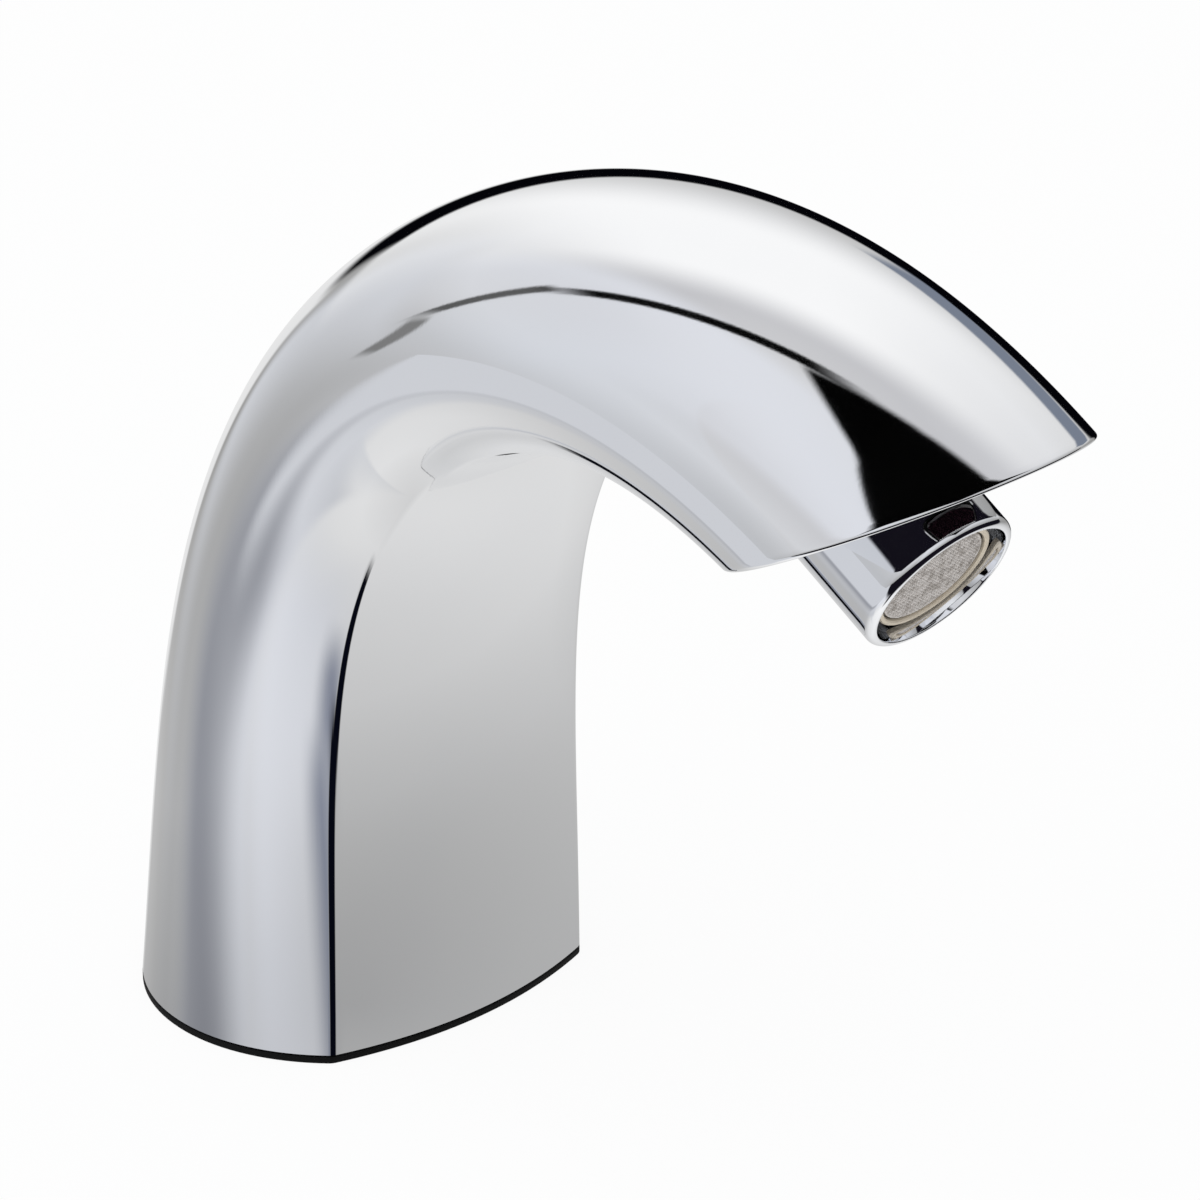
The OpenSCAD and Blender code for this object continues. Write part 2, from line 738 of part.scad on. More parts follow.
// Two blades on the bobbin's top flange
terminal_x = valve_x + 7.4;
terminal_ys = [3, 6];
terminal_t = 0.8;
terminal_w = 1.8;
terminal_h = 4;
module coil_terminals() {
    color("gold") for (y = terminal_ys)
        translate([terminal_x - terminal_t / 2, y - terminal_w / 2, bobbin_z + bobbin_h])
            cube([terminal_t, terminal_w, terminal_h]);
}

// Two wires from the blades to the control unit's lid
wire_r = 0.6;
wire_pitch = 3;
module coil_leads() {
    color("firebrick") for (i = [0, 1]) {
        start = [terminal_x, terminal_ys[i], bobbin_z + bobbin_h + terminal_h + 2 * fit_gap];
        foot = [case_mid_x + 5 - wire_pitch * i, case_y + 3, case_top + lid_h + fit_gap];
        cord([for (k = [0:12]) bezier(
            [start, start + [0, 0, 6], foot + [0, 0, 24], foot], k / 12)], wire_r);
    }
}

// One bent tube from the valve block to the outlet. The overrun lengthens both ends.
function riser_route(overrun = 0) = concat(
    [[riser_x, 0, block_top - riser_socket - overrun]],
    [for (i = [0:riser_bend_steps])
        let (v = 180 - (180 - outlet_tilt) * i / riser_bend_steps)
        [riser_x + riser_bend_r * (1 + cos(v)), 0, riser_bend_z + riser_bend_r * sin(v)]],
    [outlet_at + (overrun - tube_stop) * [sin(outlet_tilt), 0, -cos(outlet_tilt)]]
);
module riser_tube() {
    color("peru") difference() {
        cord(riser_route(), tube_r, tube_sides);
        cord(riser_route(1), tube_r - tube_wall, tube_sides);
    }
}

riser_nut_wall = 1.2;
riser_nut_h = 5;
module riser_nut() {
    color("goldenrod") translate([riser_x, 0, block_top]) difference() {
        cylinder(r = tube_r + riser_nut_wall, h = riser_nut_h, $fn = 6);
        translate([0, 0, -1]) cylinder(r = tube_r + run_gap, h = riser_nut_h + 2);
    }
}

module riser_o_ring() {
    color([0.1, 0.1, 0.1]) translate([riser_x, 0, block_top - ring_h - fit_gap])
        ring(tube_r + riser_ring_t, tube_r + run_gap, ring_h);
}

// Chromed outlet, pushed into the body's boss
groove_s = outlet_l + neck_l - 2.4;
groove_depth = 1;
groove_w = 2;
waterway_r = 6;
module outlet_nozzle() {
    color("whitesmoke") at_outlet() difference() {
        union() {
            translate([0, 0, -outlet_l]) rotate_extrude() polygon(concat(
                [[0, 0], [outlet_r, 0], [outlet_r, outlet_l - rim_round]],
                [for (a = [15:15:90]) [
                    outlet_r - rim_round + rim_round * cos(a),
                    outlet_l - rim_round + rim_round * sin(a)]],
                [[0, outlet_l]]));
            translate([0, 0, -outlet_l - neck_l]) cylinder(r = neck_r, h = neck_l + eps);
        }
        translate([0, 0, -aerator_l - aerator_recess - washer_h - fit_gap])
            cylinder(r = outlet_bore_r, h = outlet_l);
        translate([0, 0, -tube_stop]) cylinder(r = waterway_r, h = outlet_l);
        translate([0, 0, -outlet_l - neck_l - 1]) cylinder(r = tube_r + run_gap, h = outlet_l);
        translate([0, 0, -outlet_l - neck_l - 1])
            cylinder(r = tube_r + run_gap + ring_t, h = outlet_l + neck_l + 1 - tube_stop - socket_l);
        translate([0, 0, -groove_s]) ring(neck_r + 1, neck_r - groove_depth, groove_w);
    }
}

module nozzle_o_ring() {
    color([0.1, 0.1, 0.1]) at_outlet() translate([0, 0, -groove_s + fit_gap])
        ring(neck_r, neck_r - groove_depth + run_gap, groove_w - 2 * fit_gap);
}

module tube_o_ring() {
    color([0.1, 0.1, 0.1]) at_outlet() translate([0, 0, -tube_stop - socket_l - ring_h])
        ring(tube_r + ring_t, tube_r + run_gap, ring_h);
}

// Aerator: a threaded cage with its meshes, regulator and washer
cage_r = outlet_bore_r - run_gap;
cage_wall = 1.2;
ring_front = 0.8;
cage_front = 1.8;
washer_h = 1.9;
regulator_h = 2.5;
module aerator_housing() {
    color("dimgray") at_outlet() difference() {
        union() {
            translate([0, 0, -aerator_recess - aerator_l]) cylinder(r = cage_r, h = aerator_l - cage_front);
            translate([0, 0, -aerator_recess - aerator_l])
                cylinder(r = aerator_ring_r - 0.6, h = aerator_l - ring_front);
        }
        translate([0, 0, -aerator_recess - aerator_l - 1]) cylinder(r = mesh_r - 0.4, h = aerator_l + 2);
        translate([0, 0, -aerator_recess - aerator_l - 1])
            cylinder(r = cage_r - cage_wall, h = regulator_h + 2.5);
    }
}

// Brass-coloured ring that shows round the mesh
module aerator_ring() {
    color("wheat") at_outlet() translate([0, 0, -aerator_recess - ring_front])
        ring(aerator_ring_r, mesh_r + fit_gap, ring_front);
}

// A round mesh of wires, as a disc with square openings
module mesh_disc(r, h, pitch, open) {
    n = floor(r / pitch);
    difference() {
        cylinder(r = r, h = h);
        for (i = [-n:n], j = [-n:n])
            if (norm([i, j]) * pitch < r - pitch * 0.8)
                translate([i * pitch - open / 2, j * pitch - open / 2, -1]) cube([open, open, h + 2]);
    }
}

module aerator_screen() {
    color("darkgray") at_outlet() translate([0, 0, -aerator_recess - ring_front])
        mesh_disc(mesh_r, 0.5, 1.6, 0.9);
}

module rear_screen() {
    color("darkgray") at_outlet() translate([0, 0, -aerator_recess - aerator_l + regulator_h + fit_gap])
        mesh_disc(cage_r - cage_wall - fit_gap, 0.4, 2, 1.2);
}

// Disc with a ring of holes that limits the flow
jet_circle_r = 6;
jet_r = 0.7;
module flow_regulator() {
    color("seagreen") at_outlet() translate([0, 0, -aerator_recess - aerator_l]) difference() {
        cylinder(r = cage_r - cage_wall - fit_gap, h = regulator_h);
        for (a = [0:30:330]) rotate([0, 0, a]) translate([jet_circle_r, 0, -1])
            cylinder(r = jet_r, h = regulator_h + 2);
        for (a = [0:60:300]) rotate([0, 0, a]) translate([jet_circle_r / 2, 0, -1])
            cylinder(r = jet_r, h = regulator_h + 2);
    }
}

// Flat washer that seals the aerator against the outlet's shoulder
module aerator_washer() {
    color([0.1, 0.1, 0.1]) at_outlet() translate([0, 0, -aerator_recess - aerator_l - washer_h])
        ring(outlet_bore_r - fit_gap, waterway_r + 1, washer_h);
}

// Dark window that the infrared light goes through
module sensor_window() {
    color([0.03, 0.02, 0.03]) at_end_face(window_s)
        translate([-window_h / 2, -window_w / 2, -window_t]) cube([window_h, window_w, window_t]);
}

module window_seal() {
    color([0.1, 0.1, 0.1]) at_end_face(window_s) translate([0, 0, -window_t]) difference() {
        translate([-pocket_h / 2 + run_gap, -pocket_w / 2 + run_gap, 0])
            cube([pocket_h - 2 * run_gap, pocket_w - 2 * run_gap, window_t - 0.3]);
        translate([-window_h / 2 - run_gap, -window_w / 2 - run_gap, -1])
            cube([window_h + 2 * run_gap, window_w + 2 * run_gap, window_t + 1]);
    }
}

// Black holder for the emitter and the receiver
module sensor_housing() {
    color([0.12, 0.12, 0.14]) at_end_face(window_s) translate([0, 0, -window_t - eye_l]) difference() {
        translate([-pocket_h / 2 + fit_gap, -pocket_w / 2 + fit_gap, 0])
            cube([pocket_h - 2 * fit_gap, pocket_w - 2 * fit_gap, eye_l]);
        for (y = [-1, 1]) translate([0, y * eye_spacing / 2, -1])
            cylinder(r = eye_r + run_gap, h = eye_l + 2);
    }
}

module eye(side) {
    at_end_face(window_s) translate([0, side * eye_spacing / 2, -window_t - eye_l])
        cylinder(r = eye_r, h = eye_l - 0.2);
}

module ir_emitter() {
    color("lavender") eye(-1);
}

module ir_receiver() {
    color([0.1, 0.1, 0.2]) eye(1);
}

module sensor_board() {
    color("darkgreen") at_end_face(window_s) translate([0, 0, -window_t - eye_l - board_t])
        translate([-pocket_h / 2 + fit_gap, -pocket_w / 2 + fit_gap, 0])
            cube([pocket_h - 2 * fit_gap, pocket_w - 2 * fit_gap, board_t]);
}

module sensor_lead() {
    color([0.15, 0.15, 0.15]) cord(lead_route, lead_r);
}

// Clips that hold the lead under the crown
module lead_clips() {
    color("ivory") for (u = clip_spots) {
        p = under_crown(u, lead_depth, lead_y);
        o = across(u);
        translate(p) rotate([0, 90 - atan2(o.y, o.x), 0]) difference() {
            translate([-clip_l / 2, -clip_w / 2, -lead_r - loose_gap - clip_wall])
                cube([clip_l, clip_w, lead_r + loose_gap + clip_wall + clip_rise]);
            translate([-clip_l, 0, 0]) rotate([0, 90, 0])
                cylinder(r = lead_r + loose_gap + 2 * fit_gap, h = 2 * clip_l);
        }
    }
}

// Control unit: a case with feet, a lid and a board
control_screw_xs = [case_x - case_foot_l / 2, case_x + case_l + case_foot_l / 2];
module control_case() {
    color([0.2, 0.2, 0.22]) translate([case_x, case_y, plate_top]) difference() {
        union() {
            cube([case_l, case_w, case_h]);
            translate([-case_foot_l, (case_w - case_foot_w) / 2, 0])
                cube([case_l + 2 * case_foot_l, case_foot_w, case_foot_h]);
        }
        translate([case_wall, case_wall, case_wall])
            cube([case_l - 2 * case_wall, case_w - 2 * case_wall, case_h]);
        for (x = control_screw_xs) translate([x - case_x, case_w / 2, -1])
            cylinder(r = case_screw_r + fit_gap, h = case_foot_h + 2);
    }
}

module control_lid() {
    color([0.25, 0.25, 0.27]) translate([case_x, case_y, case_top]) cube([case_l, case_w, lid_h]);
}

module control_board() {
    inset = case_wall + board_gap;
    color("darkgreen")
        translate([case_x + inset, case_y + (case_w - control_board_t) / 2, plate_top + case_wall])
            cube([case_l - 2 * inset, control_board_t, case_h - case_wall - 2 * board_gap]);
}

module control_screws() {
    color("slategray") for (x = control_screw_xs)
        translate([x, case_y + case_w / 2, plate_top + case_foot_h]) rotate([180, 0, 0])
            screw(case_screw_r - run_gap, case_foot_h + case_screw_grip, case_screw_head_r, case_head_h);
}

spout_body();
base_gasket();
base_plate();
base_screws();
cable_gland();
valve_block();
block_screws();
inlet_strainer();
channel_plug();
diaphragm_membrane();
diaphragm_core();
valve_bonnet();
bonnet_screws();
solenoid_plunger();
plunger_pad();
plunger_spring();
pole_core();
solenoid_nut();
coil_bobbin();
coil_winding();
coil_yoke();
coil_terminals();
coil_leads();
riser_tube();
riser_nut();
riser_o_ring();
outlet_nozzle();
nozzle_o_ring();
tube_o_ring();
aerator_housing();
aerator_ring();
aerator_screen();
rear_screen();
flow_regulator();
aerator_washer();
sensor_window();
window_seal();
sensor_housing();
ir_emitter();
ir_receiver();
sensor_board();
sensor_lead();
lead_clips();
control_case();
control_lid();
control_board();
control_screws();
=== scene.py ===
"""Looks for a deck-mounted sensor tap: chromed body and outlet, gasket, aerator, window and inner parts.

Lengths in the classes are millimetres, as in the part's source. Meshes are scaled to metres when they are made.
"""
from __future__ import annotations

import json
import logging
import math
from dataclasses import dataclass, field
from enum import Enum
from typing import Sequence

import bmesh
import bpy
import numpy as np
from mathutils import Matrix, Vector

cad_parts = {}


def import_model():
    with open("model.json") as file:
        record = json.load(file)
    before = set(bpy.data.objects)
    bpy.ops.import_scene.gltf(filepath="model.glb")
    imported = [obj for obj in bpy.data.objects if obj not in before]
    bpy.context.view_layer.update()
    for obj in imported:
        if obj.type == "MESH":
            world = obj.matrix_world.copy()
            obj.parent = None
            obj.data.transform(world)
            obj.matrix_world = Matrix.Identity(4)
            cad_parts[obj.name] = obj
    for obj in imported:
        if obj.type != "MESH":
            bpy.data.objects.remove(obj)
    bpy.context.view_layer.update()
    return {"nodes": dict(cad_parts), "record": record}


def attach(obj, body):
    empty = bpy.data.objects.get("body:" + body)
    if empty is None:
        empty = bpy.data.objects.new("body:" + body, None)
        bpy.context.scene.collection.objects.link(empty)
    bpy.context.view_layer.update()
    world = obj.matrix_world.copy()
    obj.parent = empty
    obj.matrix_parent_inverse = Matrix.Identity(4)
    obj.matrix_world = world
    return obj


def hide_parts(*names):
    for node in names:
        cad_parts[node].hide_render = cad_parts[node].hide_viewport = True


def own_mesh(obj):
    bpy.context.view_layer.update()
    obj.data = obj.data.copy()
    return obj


LOG = logging.getLogger("tap")
MM = 0.001
FULL_TURN = 2 * math.pi
Color = tuple[float, float, float]
Points = np.ndarray
Profile = list[tuple[float, float]]


def srgb(red: float, green: float, blue: float) -> Color:
    """Linear colour of an sRGB one.

    Args:
        red: Red, 0 to 255.
        green: Green, 0 to 255.
        blue: Blue, 0 to 255.

    Returns:
        The linear colour.
    """
    def linear(level: float) -> float:
        """Linear value of one channel."""
        part = level / 255
        return part / 12.92 if part <= 0.04045 else ((part + 0.055) / 1.055) ** 2.4
    return linear(red), linear(green), linear(blue)


def grey(level: float) -> Color:
    """Linear grey of an sRGB level."""
    return srgb(level, level, level)


# Shader node groups and finishes

class Wiring:
    """Adds nodes to a tree and joins them in few words."""

    def __init__(self, tree: bpy.types.NodeTree) -> None:
        """Keeps the tree."""
        self.tree = tree

    @classmethod
    def fresh(cls, owner: bpy.types.Material | bpy.types.World) -> "Wiring":
        """Wiring of a material's or world's tree, emptied.

        Args:
            owner: The material or world.

        Returns:
            The wiring.
        """
        owner.use_nodes = True
        owner.node_tree.nodes.clear()
        return cls(owner.node_tree)

    def node(self, kind: str, settings: dict | None = None, **inputs: object) -> bpy.types.Node:
        """A new node.

        Args:
            kind: The node's type without the ShaderNode prefix.
            settings: Properties of the node itself.
            inputs: Values, nodes or output sockets for its inputs, by name with underscores for
                spaces, or by number after an underscore.

        Returns:
            The node.
        """
        made = self.tree.nodes.new(kind if kind.startswith("Node") else "ShaderNode" + kind)
        for name, value in (settings or {}).items():
            setattr(made, name, value)
        for name, value in inputs.items():
            key = int(name[1:]) if name[0] == "_" else name.replace("_", " ")
            self.feed(made.inputs[key], value)
        return made

    def feed(self, socket: bpy.types.NodeSocket, value: object) -> None:
        """Sets or links a socket.

        Args:
            socket: The input.
            value: A number, a colour, an output socket, or a node for its first output.
        """
        if isinstance(value, bpy.types.Node):
            value = value.outputs[0]
        if isinstance(value, bpy.types.NodeSocket):
            self.tree.links.new(value, socket)
        elif socket.type == "RGBA" and len(value) == 3:
            socket.default_value = (*value, 1.0)
        else:
            socket.default_value = value

    def math(self, operation: str, *values: object, clamp: bool = False) -> bpy.types.NodeSocket:
        """Output of a Math node.

        Args:
            operation: The node's operation.
            values: Its inputs in order.
            clamp: Whether the result stays between 0 and 1.

        Returns:
            The output socket.
        """
        made = self.node("Math", {"operation": operation, "use_clamp": clamp})
        for socket, value in zip(made.inputs, values):
            self.feed(socket, value)
        return made.outputs[0]

    def fade(self, value: object, start: object, end: object) -> bpy.types.NodeSocket:
        """A smooth step of value from 0 at start to 1 at end."""
        return self.node("MapRange", {"interpolation_type": "SMOOTHSTEP"},
                         Value=value, From_Min=start, From_Max=end).outputs[0]

    def mix(self, share: object, first: object, second: object) -> bpy.types.NodeSocket:
        """A colour between two, of which share is the second."""
        return self.node("Mix", {"data_type": "RGBA"}, _0=share, _6=first, _7=second).outputs[2]

    def layer(self, share: object, under: bpy.types.Node, over: bpy.types.Node) -> bpy.types.Node:
        """A shader between two, of which share is the second."""
        return self.node("MixShader", _0=share, _1=under, _2=over)

    def glow(self, colour: Color) -> bpy.types.Node:
        """A shader that glows evenly in a colour."""
        return self.node("Emission", Color=colour, Strength=1.0)


class Effect(Enum):
    """The shared effects, each one shader node group."""

    PATCHES = "surface_patches"
    MARKS = "surface_marks"
    PANEL = "studio_panel"


class Effects:
    """Builds each shared effect once and places it in materials."""

    made: dict[Effect, bpy.types.NodeTree] = {}

    @classmethod
    def place(cls, w: Wiring, effect: Effect, **inputs: object) -> bpy.types.Node:
        """An effect's group placed in a tree, built at first use.

        Args:
            w: Wiring of the tree.
            effect: The effect.
            inputs: Values or output sockets for the group's inputs.

        Returns:
            The group's node.
        """
        if effect not in cls.made:
            builders = {Effect.PATCHES: cls.patches, Effect.MARKS: cls.marks, Effect.PANEL: cls.panel}
            cls.made[effect] = builders[effect]()
        return w.node("Group", {"node_tree": cls.made[effect]}, **inputs)

    @staticmethod
    def group(effect: Effect, ins: Sequence[tuple[str, str]], outs: Sequence[tuple[str, str]]) -> tuple:
        """An empty group with named sockets.

        Args:
            effect: The effect that it is for.
            ins: Name and kind of each input.
            outs: Name and kind of each output.

        Returns:
            The tree, its wiring, the sockets that bring its inputs and those that take its outputs.
        """
        tree = bpy.data.node_groups.new(effect.value, "ShaderNodeTree")
        for rows, way in ((ins, "INPUT"), (outs, "OUTPUT")):
            for name, kind in rows:
                tree.interface.new_socket(name, in_out=way, socket_type="NodeSocket" + kind)
        w = Wiring(tree)
        return tree, w, w.node("NodeGroupInput").outputs, w.node("NodeGroupOutput").inputs

    @classmethod
    def patches(cls) -> bpy.types.NodeTree:
        """Slow changes of colour and roughness, as from handling and drying water."""
        tree, w, given, out = cls.group(
            Effect.PATCHES,
            [("Colour", "Color"), ("Stain", "Color"), ("Amount", "Float"), ("Roughness", "Float"),
             ("Spread", "Float"), ("Scale", "Float")],
            [("Colour", "Color"), ("Roughness", "Float")])
        place = w.node("TexCoord").outputs["Object"]
        slow = w.node("TexNoise", Vector=place, Scale=given["Scale"], Detail=3.0).outputs["Fac"]
        fine = w.node("TexNoise", Vector=place, Scale=w.math("MULTIPLY", given["Scale"], 7.0),
                      Detail=2.0).outputs["Fac"]
        blot = w.math("MULTIPLY", w.fade(slow, 0.42, 0.68), given["Amount"])
        w.feed(out["Colour"], w.mix(blot, given["Colour"], given["Stain"]))
        swing = w.math("SUBTRACT", w.math("ADD", slow, w.math("MULTIPLY", fine, 0.5)), 0.75)
        w.feed(out["Roughness"], w.math("MULTIPLY_ADD", swing, given["Spread"], given["Roughness"], clamp=True))
        return tree

    @classmethod
    def marks(cls) -> bpy.types.NodeTree:
        """Fine lines or grains left by a tool or a mould, as a height."""
        tree, w, given, out = cls.group(
            Effect.MARKS,
            [("Stretch", "Vector"), ("Scale", "Float"), ("Grain", "Float")],
            [("Height", "Float")])
        place = w.node("Mapping", Vector=w.node("TexCoord").outputs["Object"], Scale=given["Stretch"])
        lines = w.node("TexNoise", Vector=place, Scale=given["Scale"], Detail=2.0, Roughness=0.6)
        grains = w.node("TexVoronoi", Vector=place, Scale=w.math("MULTIPLY", given["Scale"], 1.7))
        w.feed(out["Height"], w.node("Mix", {"data_type": "FLOAT"}, _0=given["Grain"],
                                     _2=lines.outputs["Fac"], _3=grains.outputs["Distance"]))
        return tree

    @classmethod
    def panel(cls) -> bpy.types.NodeTree:
        """A soft box or black flag of the studio, laid over what is behind it."""
        tree, w, given, out = cls.group(
            Effect.PANEL,
            [("Behind", "Color"), ("Colour", "Color"), ("Azimuth", "Float"), ("Elevation", "Float"),
             ("Centre azimuth", "Float"), ("Centre elevation", "Float"), ("Half width", "Float"),
             ("Half height", "Float"), ("Soft sides", "Float"), ("Soft ends", "Float"), ("Lean", "Float")],
            [("Colour", "Color")])
        aside = w.math("WRAP", w.math("SUBTRACT", given["Azimuth"], given["Centre azimuth"]), 180.0, -180.0)
        above = w.math("SUBTRACT", w.math("SUBTRACT", given["Elevation"], given["Centre elevation"]),
                       w.math("MULTIPLY", aside, given["Lean"]))
        masks = []
        for value, half, soft in ((aside, given["Half width"], given["Soft sides"]),
                                  (above, given["Half height"], given["Soft ends"])):
            outside, inside = w.math("ADD", half, soft), w.math("SUBTRACT", half, soft)
            masks.append(w.fade(w.math("ABSOLUTE", value), outside, inside))
        w.feed(out["Colour"], w.mix(w.math("MULTIPLY", *masks), given["Behind"], given["Colour"]))
        return tree


@dataclass(frozen=True)
class Finish:
    """A surface finish for one of the record's material slots, built once as a material."""

    slot: str
    color: Color
    stain: Color
    roughness: float = 0.4
    spread: float = 0.1
    stain_amount: float = 0.3
    patch_scale: float = 60.0
    marks_scale: float = 900.0
    marks_stretch: tuple[float, float, float] = (1.0, 1.0, 1.0)
    marks_depth: float = 0.05
    marks_height: float = 0.0002
    grain: float = 0.0

    def settings(self) -> dict[str, object]:
        """The shader's own values besides colour and roughness."""
        return {}

    def tint(self, w: Wiring, colour: bpy.types.NodeSocket) -> bpy.types.NodeSocket:
        """The base colour, which a finish may change over the surface."""
        return colour

    def material(self) -> bpy.types.Material:
        """The finish's material, made at first use and named apart from the frame's plain one.

        Returns:
            The material.
        """
        name = f"dressed_{self.slot}"
        if name in bpy.data.materials:
            return bpy.data.materials[name]
        made = bpy.data.materials.new(name)
        made.diffuse_color = (*self.color, 1.0)
        w = Wiring.fresh(made)
        shader = w.node("BsdfPrincipled")
        for socket, value in self.settings().items():
            w.feed(shader.inputs[socket], value)
        patches = Effects.place(w, Effect.PATCHES, Colour=self.color, Stain=self.stain, Amount=self.stain_amount,
                                Roughness=self.roughness, Spread=self.spread, Scale=self.patch_scale)
        w.feed(shader.inputs["Base Color"], self.tint(w, patches.outputs["Colour"]))
        w.feed(shader.inputs["Roughness"], patches.outputs["Roughness"])
        marks = Effects.place(w, Effect.MARKS, Stretch=self.marks_stretch, Scale=self.marks_scale, Grain=self.grain)
        w.feed(shader.inputs["Normal"], w.node("Bump", Strength=self.marks_depth, Distance=self.marks_height,
                                               Height=marks))
        w.node("OutputMaterial", Surface=shader)
        return made


@dataclass(frozen=True)
class Metal(Finish):
    """Bare or plated metal."""

    metallic: float = 1.0

    def settings(self) -> dict[str, object]:
        """Metal values."""
        return {"Metallic": self.metallic}


@dataclass(frozen=True)
class Moulded(Finish):
    """Moulded plastic or rubber with a fine grain."""

    specular: float = 0.5

    def settings(self) -> dict[str, object]:
        """Plastic values."""
        return {"Specular IOR Level": self.specular}


@dataclass(frozen=True)
class Clear(Finish):
    """Clear or dark see-through plastic."""

    see_through: float = 0.6

    def settings(self) -> dict[str, object]:
        """Clear plastic values."""
        return {"Transmission Weight": self.see_through, "IOR": 1.49, "Coat Weight": 0.4, "Coat Roughness": 0.03}


@dataclass(frozen=True)
class Board(Moulded):
    """Circuit board with copper tracks under green lacquer."""

    track: Color = (0.05, 0.22, 0.08)
    track_scale: float = 260.0

    def tint(self, w: Wiring, colour: bpy.types.NodeSocket) -> bpy.types.NodeSocket:
        """Lays lighter tracks over the lacquer.

        Args:
            w: The material's wiring.
            colour: The lacquer's colour.

        Returns:
            The colour with the tracks.
        """
        cells = w.node("TexBrick", {"offset": 0.5}, Vector=w.node("TexCoord").outputs["Object"],
                       Scale=self.track_scale, Mortar_Size=0.03, Color1=(0, 0, 0), Color2=(0, 0, 0),
                       Mortar=(1, 1, 1))
        return w.mix(cells, colour, self.track)


CHROME = Metal("body_chrome", (0.93, 0.935, 0.945), (0.88, 0.89, 0.91), roughness=0.035, spread=0.03,
               stain_amount=0.25, patch_scale=30.0, marks_scale=60.0, marks_stretch=(40.0, 40.0, 1.5),
               marks_depth=0.005)
OUTLET_CHROME = Metal("outlet_chrome", (0.92, 0.93, 0.95), (0.86, 0.88, 0.92), roughness=0.03, spread=0.03,
                      marks_scale=400.0, marks_depth=0.01)
WINDING = Metal("coil_copper", (0.62, 0.22, 0.10), (0.40, 0.12, 0.06), roughness=0.32, spread=0.15,
                marks_scale=400.0, marks_stretch=(1.0, 1.0, 12.0), marks_depth=0.2)
STEEL = Metal("screw_steel", (0.60, 0.60, 0.61), (0.42, 0.42, 0.44), roughness=0.28, spread=0.2,
              marks_scale=300.0, marks_stretch=(1.0, 1.0, 9.0), marks_depth=0.15)
COPPER = Metal("tube_copper", (0.85, 0.45, 0.30), (0.50, 0.24, 0.15), roughness=0.28, spread=0.25,
               marks_scale=300.0, marks_depth=0.12)
RING_BRASS = Metal("ring_brass", srgb(232, 220, 200), srgb(206, 186, 156), roughness=0.5, spread=0.2,
                   metallic=0.4, marks_scale=500.0, marks_depth=0.15)
MESH_STEEL = Metal("mesh_steel", srgb(226, 220, 215), srgb(174, 166, 158), roughness=0.5, spread=0.3,
                   metallic=0.25, stain_amount=0.8, patch_scale=900.0, marks_scale=1800.0, marks_depth=0.2)
RUBBER = Moulded("black_rubber", grey(6), grey(14), roughness=0.62, spread=0.15, marks_scale=1600.0,
                 marks_depth=0.3, grain=0.5, specular=0.2)
BLACK = Moulded("black_plastic", grey(30), grey(44), roughness=0.45, spread=0.12, marks_scale=1200.0,
                marks_depth=0.25, grain=0.7)
RED = Moulded("red_plastic", srgb(168, 28, 24), srgb(120, 18, 16), marks_depth=0.08)
CABLE = Moulded("cable_black", grey(28), grey(40), roughness=0.5, marks_depth=0.15, grain=0.3)
WINDOW = Clear("window_plastic", srgb(26, 14, 18), srgb(18, 10, 14), roughness=0.06, spread=0.03,
               marks_depth=0.01, see_through=0.25)

FINISHES: dict[str, Finish] = {finish.slot: finish for finish in (
    CHROME, OUTLET_CHROME, WINDING, STEEL, COPPER, RING_BRASS, MESH_STEEL, RUBBER, BLACK, RED, CABLE, WINDOW,
    Metal("zinc_plate", (0.62, 0.62, 0.60), (0.45, 0.46, 0.48), roughness=0.38, spread=0.25,
          marks_scale=700.0, marks_depth=0.25, grain=0.6),
    Metal("valve_brass", (0.80, 0.58, 0.25), (0.55, 0.36, 0.14), roughness=0.30, spread=0.2,
          marks_scale=350.0, marks_stretch=(1.0, 8.0, 1.0), marks_depth=0.2),
    Moulded("white_plastic", srgb(228, 225, 214), srgb(206, 200, 184), roughness=0.42, marks_depth=0.1, grain=0.4),
    Moulded("green_plastic", srgb(40, 130, 84), srgb(28, 104, 66), roughness=0.38, marks_depth=0.1, grain=0.4),
    Board("board_green", srgb(22, 82, 42), srgb(16, 66, 34), roughness=0.35),
    Clear("clear_plastic", srgb(216, 220, 236), srgb(196, 202, 224), roughness=0.1, spread=0.05,
          marks_depth=0.02, see_through=0.7),
)}


# Meshes

